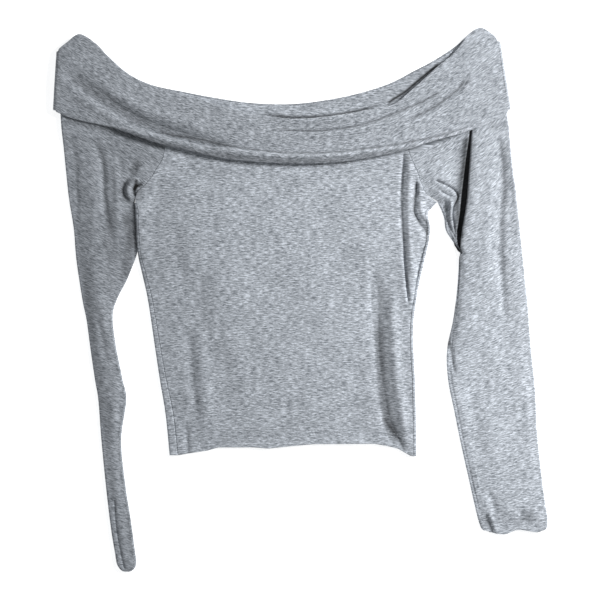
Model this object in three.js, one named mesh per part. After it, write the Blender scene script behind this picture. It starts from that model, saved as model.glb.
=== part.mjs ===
// An off-shoulder jersey top with long raglan sleeves and a wide fold-over collar, laid flat on its back.
// Millimetres: +X to the right as it is looked at, +Y towards the neck, +Z up from what it lies on.
// The origin is on that surface, under the middle of the outline. Left and right are the viewer's.

import * as THREE from "three";

const { lerp, smoothstep, degToRad } = THREE.MathUtils;

// Cloth and the way that it lies
const CLOTH = 1.2; // one layer of jersey
const COLLAR_CLOTH = 2.4; // the collar is folded double
const SEAM_GAP = 0.3;
const LAYER_AIR = 1.3; // between front and back where nothing lifts the front
const SIDE_ROUND = 2.2; // how far a side fold rounds out past the flat of its layers
const SIDE_INSET = SIDE_ROUND + CLOTH / 2; // from the outline to where the round begins
const NECK_INSET = 2.7; // the panels end this far below the collar's neck edge
const BODY_SWELL = { height: 1.8, middle: -20, reach: 130 };
const SLEEVE_SWELL = 1;
const UNDERARM = { starts: 0.9, opening: 4 }; // where the raglan seams part, and how far, at the underarm

// The panels step down from the back of the collar to the surface below it
const STEP_DOWN = { starts: 18, ends: 43 };

// Fineness: steps round a fold, rows of each panel, and columns across it
const FOLD_STEPS = 4;
const YOKE_ROWS = [0, 0.15, 0.3, 0.38, 0.46, 0.54, 0.62, 0.74, 0.87, 0.96, 1]; // from neck to underarm
const BODY_ROWS = 14;
const SLEEVE_ROWS = 17;
const COLUMNS = { front: 34, back: 12, sleeveFront: 9, sleeveBack: 7, underarm: 4, tube: 8 };
const CROWD = { weight: 4, width: 0.06, samples: 400 }; // columns draw together around the sharp folds
const FRONT_CROWDS = [0.13, 0.94];
const HEM_REACH = 3; // powers that keep the shape of the hem, and of the cuff, near its own edge
const CUFF_REACH = 12;

// The collar's sections from its left end to its right one: lower fold and neck edge of the front layer,
// then the heights of the same two edges on the back layer
const COLLAR_SECTIONS = [
  { foot: [-325.4, 250], head: [-320.8, 327.4], backFoot: 250, backHead: 327.4 },
  { foot: [-309, 241.6], head: [-306.2, 339.2], backFoot: 243.5, backHead: 339.2 },
  { foot: [-288, 234.6], head: [-289.6, 349.8], backFoot: 238.9, backHead: 349.8 },
  { foot: [-266.6, 229.7], head: [-268, 337], backFoot: 235, backHead: 337 },
  { foot: [-245.5, 224], head: [-253.4, 321.4], backFoot: 229.7, backHead: 322.1 },
  { foot: [-217.8, 214.5], head: [-227, 298.3], backFoot: 223.1, backHead: 299 },
  { foot: [-184.8, 203.3], head: [-195.4, 282.5], backFoot: 213.8, backHead: 283.8 },
  { foot: [-145.2, 194], head: [-153.1, 269.9], backFoot: 205.9, backHead: 274.6 },
  { foot: [-105.6, 184.8], head: [-110.9, 257.4], backFoot: 200.6, backHead: 266.6 },
  { foot: [-59.4, 179.3], head: [-63.4, 246.2], backFoot: 198, backHead: 260 },
  { foot: [-10.6, 177.4], head: [-10.6, 240.9], backFoot: 197.3, backHead: 258.7 },
  { foot: [39.6, 179.1], head: [39.6, 244.2], backFoot: 199.3, backHead: 264.7 },
  { foot: [81.8, 184.8], head: [84.5, 250.8], backFoot: 203.3, backHead: 274.6 },
  { foot: [116.2, 191.4], head: [121.4, 258.1], backFoot: 207.9, backHead: 287.1 },
  { foot: [145.2, 198.7], head: [149.2, 278.5], backFoot: 213.2, backHead: 301.6 },
  { foot: [176.9, 209.2], head: [175.6, 302.3], backFoot: 219.8, backHead: 315.5 },
  { foot: [208.6, 217.8], head: [203.3, 326], backFoot: 226.4, backHead: 333.3 },
  { foot: [237.6, 227.7], head: [223, 350.5], backFoot: 233.6, backHead: 350.5 },
  { foot: [261.4, 238.3], head: [240.2, 357.7], backFoot: 240.9, backHead: 357.7 },
  { foot: [277.9, 250.8], head: [264, 340.6], backFoot: 250.8, backHead: 340.6 },
];
const COLLAR_ROWS = [0, 0.1, 0.24, 0.38, 0.52, 0.66, 0.76, 0.85, 0.93, 1]; // shares from neck edge to fold
const COLLAR_RELIEF = { least: 0.4, edge: 0.8, middle: 2.6 };

// Seams between body and sleeve, from under the collar to the underarm; each goes on to the neck at neckX
const RAGLAN_LEFT = {
  neckX: -161,
  points: [[-169, 237.6], [-177.5, 202.8], [-181.4, 186.1], [-188.8, 174.2], [-196.7, 161], [-206.6, 149.8],
    [-215.4, 142.6], [-217.8, 128]],
};
const RAGLAN_RIGHT = {
  neckX: 132,
  points: [[136, 237.6], [143, 196.7], [150.5, 177.5], [154.3, 169], [159.3, 154.8], [165.7, 140.8],
    [175.5, 133.5]],
};

// Outlines of the body's sides from underarm to hem, and the hem's height across
const SIDE_LEFT = [[-217.4, 128], [-216, 92.4], [-213.6, 60], [-208, 34], [-200.6, 0], [-192.7, -52.8],
  [-184.8, -105.6], [-177.5, -150], [-172, -204.6]];
const SIDE_RIGHT = [[180.4, 129.5], [173.4, 121], [168.8, 113.5], [171.5, 96], [170.3, 79.2],
  [163.7, 52.8], [154.4, 13.2], [148.4, -33], [149.2, -66], [151.8, -105.6], [153.1, -158.4],
  [153.6, -205.9]];
const HEM = [[-172, -204.6], [-156, -202], [-140, -199.3], [-122, -196.7], [-108, -192.7], [-61, -192.7],
  [-42, -194.4], [-13, -191.4], [18, -188.8], [98, -188.8], [113.5, -191.4], [129.4, -195.4],
  [145.2, -204.6], [153, -205.9]];

// How far the back panel comes round onto the front at each side, by height
const WRAP_LEFT = [[-210, 13], [-150, 13], [-75, 8.5], [0, 6.6], [58, 1.6], [130, 1.2]];
const WRAP_RIGHT = [[-210, 1.2], [130, 1.2]];

// Outlines of the sleeves: the outer edge under the collar, then both edges from the underarm to the cuff
const SLEEVE_LEFT = {
  yoke: [[-311, 332.6], [-313, 318], [-315.5, 290], [-316.3, 262], [-315.5, 243], [-314.2, 224.4],
    [-311.5, 198], [-308.9, 171.6], [-306.2, 145.2], [-304, 128]],
  outer: [[-304, 128], [-298.3, 92.4], [-295.7, 52.8], [-287.8, 0], [-282.5, -26.4], [-277.2, -66],
    [-271.9, -105.6], [-266.6, -132], [-262.7, -184.8], [-256, -250.8], [-249.5, -303.6], [-242.4, -343]],
  inner: [[-218.2, 128], [-217.3, 92.4], [-216.2, 66], [-227, 30.4], [-241.6, 0], [-246.8, -22],
    [-243, -58], [-233.6, -105.6], [-228.9, -132], [-235.6, -184.8], [-230, -245], [-223, -290.4],
    [-216, -343]],
  cuffBow: 14.8,
};
const SLEEVE_RIGHT = {
  yoke: [[256.5, 343.3], [260.5, 318], [265, 290], [269.5, 262], [273.2, 243], [275.9, 224.4],
    [278.5, 198], [281.2, 171.6], [285, 145.2], [286.6, 130.2]],
  outer: [[286.6, 130.2], [290.4, 92.4], [295.7, 39.6], [301, -13.2], [304.9, -66], [310.2, -118.8],
    [312.8, -171.6], [318, -224.4], [322.6, -262], [326.6, -288], [325.2, -303.5]],
  inner: [[181.5, 130.2], [189.7, 109.6], [192.2, 92.9], [199.7, 80.5], [211, 64], [209.9, 52.8],
    [207.2, 13.2], [202, -26.4], [194, -66], [195.4, -105.6], [203.3, -145.2], [211.2, -184.8],
    [223, -237.6], [233.6, -283.8], [240.2, -303.6]],
  cuffBow: 4,
};

// Distance between the two layers of the left sleeve, by height: lower down it is folded lengthwise
const LEFT_SLEEVE_DEPTH = [[-360, 5.1], [-60, 5.1], [0, 4.6], [60, 3.2], [128, 2.8]];

// The right sleeve's main tube laps over its underarm in one long pleat: its middle, and how full it is
const PLEAT = { radius: 1.2, reach: 3, arc: 4, margin: 1.2 };
const TUBE_SLOPE = { before: 25, after: 8, ends: 58 };
const PLEAT_HALF = PLEAT.reach + PLEAT.radius;
const PLEAT_RISE = 4 * PLEAT.radius;
const PLEAT_MIDDLE = [[-305, 249], [-283.8, 242.1], [-237.6, 231.5], [-184.8, 219.7], [-145.2, 211.8],
  [-105.6, 203.9], [-66, 202.5], [-26.4, 210.5], [13.2, 215.7], [52.8, 218.4], [74, 219.4], [99, 220.4],
  [124, 223.5], [149, 225.2], [175, 227], [200, 230], [222, 233], [350, 238]];
const PLEAT_FULLNESS = [[-10, 0], [60, 1], [188, 1], [238, 0]];

// Largest folds of the front, as ridges and troughs along short lines
const FRONT_FOLDS = [
  { line: [[145, 200], [145.5, 112], [143, 5]], width: 6, height: 4.2, fades: 0.15 },
  { line: [[138.5, 200], [136, 125], [141, 10]], width: 4.5, height: -2, fades: 0.1 },
  { line: [[-146, 127], [-128, 30], [-124, -45]], width: 10, height: -1, fades: 0.4 },
  { line: [[-141, -20], [-137, -112], [-131, -198], [-129, -240]], width: 5.5, height: -2.2, fades: 0.15 },
  { line: [[-127, -25], [-122, -119], [-118, -195], [-116, -240]], width: 8, height: 4, fades: 0.15 },
  { line: [[112, 20], [110.5, -79], [124, -180], [131, -230]], width: 6, height: -2.2, fades: 0.15 },
  { line: [[127, 20], [126, -92], [139, -180], [145, -230]], width: 8.5, height: 4, fades: 0.15 },
  { line: [[-259, 174], [-255, 131], [-239, 63]], width: 6, height: -1, fades: 0.3 },
  { line: [[265, 238], [273, 135], [277, 63]], width: 6, height: -0.8, fades: 0.3 },
];

// Folds of the collar's front: the roll above its lower fold, and the drapes that run up to its ends
const COLLAR_FOLDS = [
  { line: [[-250, 229], [-168, 211], [-65, 195], [-10.6, 190.5], [40, 192.7], [103, 202], [190, 220]],
    width: 9, height: 8, fades: 0.35 },
  { line: [[-284, 290], [-238, 264], [-198, 241.6], [-158, 224], [-119, 209], [-66, 205]],
    width: 13, height: -2.4, fades: 0.25 },
  { line: [[-13, 224], [53, 227], [105.6, 236], [158, 259], [198, 280], [238, 304]],
    width: 7, height: -2, fades: 0.25 },
  { line: [[0, 211], [105.6, 219], [185, 248], [251, 293]], width: 10, height: 2, fades: 0.3 },
];

const JERSEY = { color: 0xa5abb3, roughness: 0.95, metalness: 0 };

// Second column of a table at a place in its first, straight between the rows and level past its ends
function valueAt(rows, place) {
  const upper = Math.max(1, rows.findIndex((row, i) => i === rows.length - 1 || place <= row[0]));
  const [start, from] = rows[upper - 1];
  const [end, to] = rows[upper];
  return lerp(from, to, THREE.MathUtils.clamp((place - start) / (end - start), 0, 1));
}

const flatCurve = (points) => new THREE.SplineCurve(points.map(([x, y]) => new THREE.Vector2(x, y)));

const frontHead = COLLAR_SECTIONS.map(({ head }) => head);
const backHead = COLLAR_SECTIONS.map((section) => [section.head[0], section.backHead]);
const backFoot = COLLAR_SECTIONS.map((section) => [section.foot[0], section.backFoot]);

for (const fold of [...FRONT_FOLDS, ...COLLAR_FOLDS]) {
  fold.course = flatCurve(fold.line).getSpacedPoints(30);
}

// Height of a set of folds at one place
function foldHeight(folds, x, y) {
  const place = new THREE.Vector2(x, y);
  let height = 0;
  for (const { course, width, height: full, fades } of folds) {
    const distances = course.map((point) => point.distanceTo(place));
    const distance = Math.min(...distances);
    const along = distances.indexOf(distance) / (course.length - 1);
    const ends = smoothstep(along, 0, fades) * smoothstep(1 - along, 0, fades);
    height += full * ends * Math.exp(-((distance / width) ** 2));
  }
  return height;
}

// Middle of the back layer: over the collar's back layer, then down to the surface
function backLevel(x, y) {
  const below = valueAt(backFoot, x) - y;
  const lift = 1 - smoothstep(below, STEP_DOWN.starts, STEP_DOWN.ends);
  return CLOTH / 2 + lift * (COLLAR_CLOTH + SEAM_GAP);
}

// Middle of the front layer, never nearer to the back one than a seam's gap
function frontLevel(x, y) {
  const touching = CLOTH + SEAM_GAP;
  const swell = BODY_SWELL.height * Math.exp(-(((x - BODY_SWELL.middle) / BODY_SWELL.reach) ** 4));
  const lift = touching + LAYER_AIR + swell + foldHeight(FRONT_FOLDS, x, y);
  return backLevel(x, y) + Math.max(touching, lift);
}

// Rise of the right sleeve's main tube to the right of its pleat
function tubeRise(x, y) {
  const past = x - valueAt(PLEAT_MIDDLE, y);
  const before = smoothstep(past, -TUBE_SLOPE.before, -PLEAT_HALF);
  const side = past < 0 ? before : 1 - smoothstep(past, TUBE_SLOPE.after, TUBE_SLOPE.ends);
  return PLEAT_RISE * valueAt(PLEAT_FULLNESS, y) * side;
}

const frontPoint = ({ x, y }) => new THREE.Vector3(x, y, frontLevel(x, y));
const backPoint = ({ x, y }) => new THREE.Vector3(x, y, backLevel(x, y));

// A sheet of cloth without thickness, made of rows of points that are joined in turn
class Sheet {
  constructor(turned = false) {
    this.turned = turned;
    this.points = [];
    this.faces = [];
  }

  row(points) {
    return points.map((point) => this.points.push(point) - 1);
  }

  join(upper, lower) {
    const [a, b] = this.turned ? [lower, upper] : [upper, lower];
    for (let i = 1; i < a.length; i += 1) {
      this.faces.push([a[i - 1], b[i - 1], b[i]], [a[i - 1], b[i], a[i]]);
    }
  }
}

// The sheet as a closed wall: both faces at half the thickness, and a strip along every free edge
function wall(sheet, thickness) {
  const middle = new THREE.BufferGeometry().setFromPoints(sheet.points);
  middle.setIndex(sheet.faces.flat());
  middle.computeVertexNormals();
  const normals = middle.getAttribute("normal");
  const count = sheet.points.length;
  const corners = [1, -1].flatMap((side) => sheet.points.map((point, i) => {
    const outwards = new THREE.Vector3().fromBufferAttribute(normals, i);
    return point.clone().addScaledVector(outwards, (side * thickness) / 2);
  }));
  const faces = [];
  const freeEdges = new Map();
  for (const [a, b, c] of sheet.faces) {
    faces.push([a, b, c], [a + count, c + count, b + count]);
    for (const [from, to] of [[a, b], [b, c], [c, a]]) {
      if (!freeEdges.delete(`${to} ${from}`)) {
        freeEdges.set(`${from} ${to}`, [from, to]);
      }
    }
  }
  for (const [from, to] of freeEdges.values()) {
    faces.push([to, from, from + count], [to, from + count, to + count]);
  }
  const geometry = new THREE.BufferGeometry().setFromPoints(corners);
  geometry.setIndex(faces.flat());
  geometry.computeVertexNormals();
  return geometry;
}

function piece(name, sheet, thickness) {
  const mesh = new THREE.Mesh(wall(sheet, thickness), new THREE.MeshStandardMaterial(JERSEY));
  mesh.name = name;
  return mesh;
}

// Points round a side fold between two layers, from the upper one to the lower one
function sideFold(upper, lower, outwards, round = SIDE_ROUND) {
  const points = [];
  const depth = (upper.z - lower.z) / 2;
  for (let step = 1; step < FOLD_STEPS; step += 1) {
    const angle = degToRad(90 - (180 * step) / FOLD_STEPS);
    const x = upper.x + outwards * round * Math.cos(angle);
    points.push(new THREE.Vector3(x, upper.y, lower.z + depth + depth * Math.sin(angle)));
  }
  return points;
}

// How far a curve stands off the straight line between its ends
function bow(curve, share) {
  const chord = curve(0).lerp(curve(1), share);
  return curve(share).sub(chord);
}

// A neckline between two x, a little below the collar's neck edge
function neckline(head, fromX, toX) {
  return (share) => {
    const x = lerp(fromX, toX, share);
    return new THREE.Vector2(x, valueAt(head, x) - NECK_INSET);
  };
}

const hemline = (fromX, toX) => (share) => {
  const x = lerp(fromX, toX, share);
  return new THREE.Vector2(x, valueAt(HEM, x));
};

// A raglan seam as a curve from the neck down
function raglan({ neckX, points }, head) {
  return flatCurve([[neckX, valueAt(head, neckX) - NECK_INSET], ...points]);
}

// A panel's edge along a seam, half a gap to one side, which opens a little just above the underarm
function seamEdge(seam, share, side) {
  const tangent = seam.getTangentAt(share);
  const parted = Math.max(0, (share - UNDERARM.starts) / (1 - UNDERARM.starts)) ** 4;
  const gap = SEAM_GAP / 2 + UNDERARM.opening * parted;
  const across = new THREE.Vector2(-tangent.y, tangent.x).multiplyScalar(side * gap);
  return seam.getPointAt(share).add(across);
}

// Shares from 0 to 1, closer together around each of the given places
function crowded(count, places) {
  const { weight, width, samples } = CROWD;
  const sums = [0];
  for (let i = 0; i < samples; i += 1) {
    const share = (i + 0.5) / samples;
    const extra = places.map((place) => weight * Math.exp(-(((share - place) / width) ** 2)));
    sums.push(sums[i] + extra.reduce((sum, value) => sum + value, 1));
  }
  return Array.from({ length: count }, (_, i) => {
    const wanted = (i / count) * sums[samples];
    const upper = Math.max(1, sums.findIndex((sum) => sum >= wanted));
    const within = (wanted - sums[upper - 1]) / (sums[upper] - sums[upper - 1]);
    return (upper - 1 + within) / samples;
  }).concat(1);
}

const evenly = (count) => Array.from({ length: count + 1 }, (_, i) => i / count);

// Rows of a body panel: its two ends, and how much of the neckline's and the hem's own shape it has
function bodyRows(seamLeft, seamRight, edgeLeft, edgeRight) {
  const yoke = YOKE_ROWS.slice(0, -1).map((share) => ({
    left: seamEdge(seamLeft, share, 1),
    right: seamEdge(seamRight, share, -1),
    neck: 1 - share,
    hem: 0,
  }));
  const lower = [];
  for (let i = 0; i <= BODY_ROWS; i += 1) {
    const share = i / BODY_ROWS;
    lower.push({ left: edgeLeft(share), right: edgeRight(share), neck: 0, hem: share ** HEM_REACH });
  }
  return { yoke, lower };
}

function rowPoints({ left, right, neck, hem }, necks, hems, columns) {
  return columns.map((share) => left.clone().lerp(right, share)
    .add(bow(necks, share).multiplyScalar(neck))
    .add(bow(hems, share).multiplyScalar(hem)));
}

const sideLeft = flatCurve(SIDE_LEFT);
const sideRight = flatCurve(SIDE_RIGHT);

// Places on a side: where its fold begins, and where the front panel's edge lies
const foldStart = (side, inwards) => (share) => {
  const point = side.getPointAt(share);
  return new THREE.Vector2(point.x + inwards * SIDE_INSET, point.y);
};
const frontEdge = (side, inwards, wraps) => (share) => {
  const point = foldStart(side, inwards)(share);
  point.x += inwards * (valueAt(wraps, point.y) + SEAM_GAP);
  return point;
};

function frontPanel() {
  const { yoke, lower } = bodyRows(raglan(RAGLAN_LEFT, frontHead), raglan(RAGLAN_RIGHT, frontHead),
    frontEdge(sideLeft, 1, WRAP_LEFT), frontEdge(sideRight, -1, WRAP_RIGHT));
  const rows = [...yoke, ...lower];
  const necks = neckline(frontHead, rows[0].left.x, rows[0].right.x);
  const hems = hemline(rows.at(-1).left.x, rows.at(-1).right.x);
  const columns = crowded(COLUMNS.front, FRONT_CROWDS);
  const sheet = new Sheet();
  let above = null;
  for (const row of rows) {
    const current = sheet.row(rowPoints(row, necks, hems, columns).map(frontPoint));
    if (above) {
      sheet.join(above, current);
    }
    above = current;
  }
  return piece("front_panel", sheet, CLOTH);
}

// The back panel, whose sides fold up round onto the front below the underarm
function backPanel() {
  const { yoke, lower } = bodyRows(raglan(RAGLAN_LEFT, backHead), raglan(RAGLAN_RIGHT, backHead),
    foldStart(sideLeft, 1), foldStart(sideRight, -1));
  const rows = [...yoke, ...lower];
  const necks = neckline(backHead, rows[0].left.x, rows[0].right.x);
  const hems = hemline(rows.at(-1).left.x, rows.at(-1).right.x);
  const columns = evenly(COLUMNS.back);
  const onFront = (point, inwards, wraps) => {
    const seam = point.clone();
    seam.x += inwards * valueAt(wraps, point.y);
    return frontPoint(seam);
  };
  const sheet = new Sheet();
  let above = null;
  rows.forEach((row, i) => {
    const flat = rowPoints(row, necks, hems, columns).reverse();
    const back = sheet.row(flat.map(backPoint));
    let current = back;
    if (i >= yoke.length) {
      const [right, left] = [flat[0], flat.at(-1)];
      const rightFold = sideFold(frontPoint(right), backPoint(right), 1);
      const leftFold = sideFold(frontPoint(left), backPoint(left), -1).reverse();
      const start = sheet.row([onFront(right, -1, WRAP_RIGHT), frontPoint(right), ...rightFold]);
      const end = sheet.row([...leftFold, frontPoint(left), onFront(left, 1, WRAP_LEFT)]);
      current = [...start, ...back, ...end];
    }
    if (above) {
      sheet.join(above, above.length === current.length ? current : back);
    }
    above = current;
  });
  return piece("back_panel", sheet, CLOTH);
}

// Places across a sleeve's front, as x and y with the height that they have over the front layer
function plainAcross(at, rise) {
  return evenly(COLUMNS.sleeveFront).map((share) => ({
    spot: at(share),
    rise: rise * Math.sin(Math.PI * share),
  }));
}

function pleatedAcross(at, rise) {
  const [start, end] = [at(0), at(1)];
  const shareOf = (x) => (x - start.x) / (end.x - start.x);
  let pleat = at(0.5);
  for (let pass = 0; pass < 4; pass += 1) {
    pleat = at(shareOf(valueAt(PLEAT_MIDDLE, pleat.y)));
  }
  const full = valueAt(PLEAT_FULLNESS, pleat.y);
  const underarm = shareOf(pleat.x - PLEAT_HALF - PLEAT.margin);
  const places = evenly(COLUMNS.underarm).map((share) => ({ spot: at(underarm * share), rise: 0 }));
  for (const turn of [1, -1]) {
    for (let i = 0; i <= PLEAT.arc; i += 1) {
      const angle = degToRad(-90 + (180 * i) / PLEAT.arc);
      const order = (turn === 1 ? 0 : PLEAT.arc + 1) + i;
      const spread = -PLEAT_HALF + (2 * PLEAT_HALF * order) / (2 * PLEAT.arc + 1);
      const folded = turn * (PLEAT.reach + PLEAT.radius * Math.cos(angle));
      const spot = at(shareOf(pleat.x + spread));
      spot.x = pleat.x + lerp(spread, folded, full);
      const layer = (turn === 1 ? 1 : 3) + Math.sin(angle);
      places.push({ spot, rise: full * PLEAT.radius * layer });
    }
  }
  const tube = shareOf(pleat.x + PLEAT_HALF);
  for (const part of evenly(COLUMNS.tube).slice(1)) {
    const share = lerp(tube, 1, part);
    const spot = at(share);
    const lap = part < 1 ? tubeRise(spot.x, spot.y) : 0;
    places.push({ spot, rise: lap + rise * Math.sin(Math.PI * share) });
  }
  return places;
}

// A sleeve: open along its two raglan seams above the underarm, a closed tube below it
function sleeve(name, shape, seams, side, across, depths) {
  const yokeEdge = flatCurve(shape.yoke);
  const outer = flatCurve(shape.outer);
  const inner = flatCurve(shape.inner);
  const [frontSeam, backSeam] = [raglan(seams, frontHead), raglan(seams, backHead)];
  const insetBy = (point, amount) => new THREE.Vector2(point.x + amount, point.y);
  const rows = YOKE_ROWS.slice(0, -1).map((share) => ({
    front: seamEdge(frontSeam, share, side),
    back: seamEdge(backSeam, share, side),
    outer: insetBy(yokeEdge.getPointAt(share), -side * SIDE_INSET),
    neck: 1 - share,
    cuff: 0,
    swell: 0,
    closed: false,
  }));
  for (let i = 0; i <= SLEEVE_ROWS; i += 1) {
    const share = i / SLEEVE_ROWS;
    const inside = insetBy(inner.getPointAt(share), side * SIDE_INSET);
    rows.push({
      front: inside,
      back: inside,
      outer: insetBy(outer.getPointAt(share), -side * SIDE_INSET),
      neck: 0,
      cuff: share ** CUFF_REACH,
      swell: SLEEVE_SWELL * smoothstep(share, 0, 0.2),
      closed: true,
    });
  }
  const [first] = rows;
  const frontNeck = neckline(frontHead, first.front.x, first.outer.x);
  const backNeck = neckline(backHead, first.back.x, first.outer.x);
  const sheet = new Sheet(side < 0);
  let above = null;
  for (const row of rows) {
    const alongRow = (from, neck) => (share) => {
      const spot = from.clone().lerp(row.outer, share).add(bow(neck, share).multiplyScalar(row.neck));
      spot.y -= row.cuff * shape.cuffBow * (1 - (2 * share - 1) ** 4);
      return spot;
    };
    const extra = (y) => (depths ? valueAt(depths, y) - (CLOTH + SEAM_GAP + LAYER_AIR) : 0);
    const front = across(alongRow(row.front, frontNeck), row.swell).map(({ spot, rise }) => {
      const point = frontPoint(spot);
      point.z += rise + extra(spot.y);
      return point;
    });
    const back = evenly(COLUMNS.sleeveBack).map(alongRow(row.back, backNeck)).map(backPoint).reverse();
    const open = [...front, ...sideFold(front.at(-1), back[0], side), ...back];
    const strip = sheet.row(open);
    let current = strip;
    if (row.closed) {
      const closing = sheet.row(sideFold(front[0], back.at(-1), -side).reverse());
      current = [...strip, ...closing, strip[0]];
    }
    if (above) {
      sheet.join(above, above.length === current.length ? current : strip);
    }
    above = current;
  }
  return piece(name, sheet, CLOTH);
}

// The collar: one band that goes right round, over the panels in front and under them at the back
function collar() {
  const spotOn = (foot, head, share) => new THREE.Vector2(...head).lerp(new THREE.Vector2(...foot), share);
  const last = COLLAR_SECTIONS.length - 1;
  const sheet = new Sheet();
  const upperLevel = ({ x, y }, share) => {
    const bare = lerp(COLLAR_RELIEF.edge, COLLAR_RELIEF.middle, Math.sin(Math.PI * share));
    const relief = Math.max(COLLAR_RELIEF.least, bare + foldHeight(COLLAR_FOLDS, x, y));
    return frontLevel(x, y) + tubeRise(x, y) + CLOTH / 2 + SEAM_GAP + COLLAR_CLOTH / 2 + relief;
  };
  let above = null;
  for (const share of COLLAR_ROWS) {
    const front = [];
    const back = [];
    COLLAR_SECTIONS.forEach(({ foot, head, backFoot: lowY, backHead: highY }, i) => {
      const upper = spotOn(foot, head, share);
      const lower = spotOn([foot[0], lowY], [head[0], highY], share);
      if (i === 0 || i === last) {
        const level = upperLevel(upper, share);
        const inset = COLLAR_CLOTH / 2 + (level - COLLAR_CLOTH / 2) / 2;
        upper.x += i === 0 ? inset : -inset;
        lower.x = upper.x;
      }
      front.push(new THREE.Vector3(upper.x, upper.y, upperLevel(upper, share)));
      back.unshift(new THREE.Vector3(lower.x, lower.y, COLLAR_CLOTH / 2));
    });
    const endFold = (upper, lower, outwards) => sideFold(upper, lower, outwards, (upper.z - lower.z) / 2);
    const rightEnd = endFold(front[last], back[0], 1);
    const leftEnd = endFold(front[0], back[last], -1).reverse();
    const ring = sheet.row([...front, ...rightEnd, ...back, ...leftEnd]);
    ring.push(ring[0]);
    if (above) {
      sheet.join(above, ring);
    }
    above = ring;
  }
  return piece("collar", sheet, COLLAR_CLOTH);
}

const top = new THREE.Group();
top.name = "off_shoulder_top";
top.add(frontPanel());
top.add(backPanel());
top.add(sleeve("sleeve_left", SLEEVE_LEFT, RAGLAN_LEFT, -1, plainAcross, LEFT_SLEEVE_DEPTH));
top.add(sleeve("sleeve_right", SLEEVE_RIGHT, RAGLAN_RIGHT, 1, pleatedAcross, null));
top.add(collar());

export default top;
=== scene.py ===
import bpy
import numpy as np
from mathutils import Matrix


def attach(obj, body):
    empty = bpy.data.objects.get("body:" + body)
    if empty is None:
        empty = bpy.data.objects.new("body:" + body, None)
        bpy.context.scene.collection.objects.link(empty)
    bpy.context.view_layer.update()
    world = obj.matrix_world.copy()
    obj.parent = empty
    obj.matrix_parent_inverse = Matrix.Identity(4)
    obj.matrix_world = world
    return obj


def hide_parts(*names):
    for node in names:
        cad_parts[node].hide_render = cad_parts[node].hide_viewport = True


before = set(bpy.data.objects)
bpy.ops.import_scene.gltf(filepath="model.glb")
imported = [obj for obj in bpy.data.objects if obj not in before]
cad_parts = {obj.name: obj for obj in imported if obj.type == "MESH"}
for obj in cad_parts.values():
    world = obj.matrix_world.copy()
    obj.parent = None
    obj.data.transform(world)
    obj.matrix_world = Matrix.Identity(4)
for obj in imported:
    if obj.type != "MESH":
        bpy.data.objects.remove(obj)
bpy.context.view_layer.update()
coarser = 1

# The top lies flat, face up. Sizes are millimetres until a mesh is made; left and right are the viewer's.
mm = 0.001
pixel = 1.32  # millimetres to one pixel of the photograph
pictureMiddle = 300
curveSteps = 20  # short pieces between two points of a curve
foldPieces = 30  # straight pieces in the course of a fold
foldReach = 3.5  # widths from its course at which a fold is gone


def smoothStep(value, low, high):
    share = np.clip((value - low) / (high - low), 0, 1)
    return share * share * (3 - 2 * share)


def valueAt(rows, place):
    table = np.asarray(rows, float)
    return np.interp(place, table[:, 0], table[:, 1])


def smoothCourse(points):
    # a Catmull-Rom curve through the points, as many short pieces
    knots = np.asarray(points, float)
    padded = np.vstack([knots[:1], knots, knots[-1:]])
    t = np.linspace(0, 1, curveSteps, endpoint=False)[:, None]
    spans = []
    for a, b, c, d in zip(padded, padded[1:], padded[2:], padded[3:]):
        spans.append(0.5 * (2 * b + (c - a) * t + (2 * a - 5 * b + 4 * c - d) * t**2
                            + (3 * b - a - 3 * c + d) * t**3))
    return np.vstack(spans + [knots[-1:]])


def pointsAlong(course, shares):
    steps = np.linalg.norm(np.diff(course, axis=0), axis=1)
    lengths = np.concatenate([[0], np.cumsum(steps)])
    wanted = np.asarray(shares) * lengths[-1]
    return np.stack([np.interp(wanted, lengths, axis) for axis in course.T], -1)


def fold(width, height, fades, *places, left=None, crest=2, onTable=False):
    # a fold, or a painted shadow or painted highlight, through places in the photograph (or on the table):
    # its width, its height (or how much lighter it paints the colour), the share of it that fades at either
    # end, its width on the left of its course where that differs, and how crisp its crest is (2 is soft, 1
    # is sharp)
    if not onTable:
        places = [((x - pictureMiddle) * pixel, (pictureMiddle - y) * pixel) for x, y in places]
    course = pointsAlong(smoothCourse(places), np.linspace(0, 1, foldPieces + 1))
    return {"course": course, "width": width, "leftWidth": left or width, "height": height,
            "crest": crest, "fades": fades}


cloth = {
    "thickness": 1.2,
    "collarThickness": 2.4,  # folded double
    "seamGap": 0.3,
    "layerAir": 1.3,  # between front and back where nothing lifts the front
    "sideRound": 2.2,  # how far a side fold rounds out past its layers
    "sideSteps": 8,  # pieces round a side fold
    "neckInset": 2.7,  # panels end this far below the collar's neck edge
    "swellHeight": 1.8,  # how far the front rises in the middle, and where
    "swellMiddle": -20,
    "swellReach": 130,
    "stepStarts": 18,  # below the back collar the panels step down to the surface
    "stepEnds": 43,
    "underarmStarts": 0.9,  # where the raglan seams part above the underarm
    "underarm": 130,  # height at which the side folds begin
    "underarmEases": 10,  # how far below it they are full, and how full they begin
    "underarmLeast": 0.12,
    "unevenness": 0.5,
    "waves": (19, 33, 27, 23, 41),  # lengths of the slow waves that keep the cloth from lying level
    "wavesStart": (-5, 20),  # below the collar's foot
    "leastEdge": 0.25,  # share of the thickness that is left at a cut edge
    "edgeSteps": (0.25, 0.7, 1.4),  # the cloth's first points in from an edge
    "evenFrom": 2.4,  # and where their even spacing begins
    "rowSteps": (-1.2, -0.6, 0, 0.6, 1.2),  # points beside a row of stitches
    "leastStep": 0.2,  # nearer points are left out
}
sideInset = cloth["sideRound"] + cloth["thickness"] / 2
touching = cloth["thickness"] + cloth["seamGap"]
sleeveLength = 460  # about, from underarm to cuff
yokeLength = 190  # from the neck edge to the underarm, along a sleeve

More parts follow.
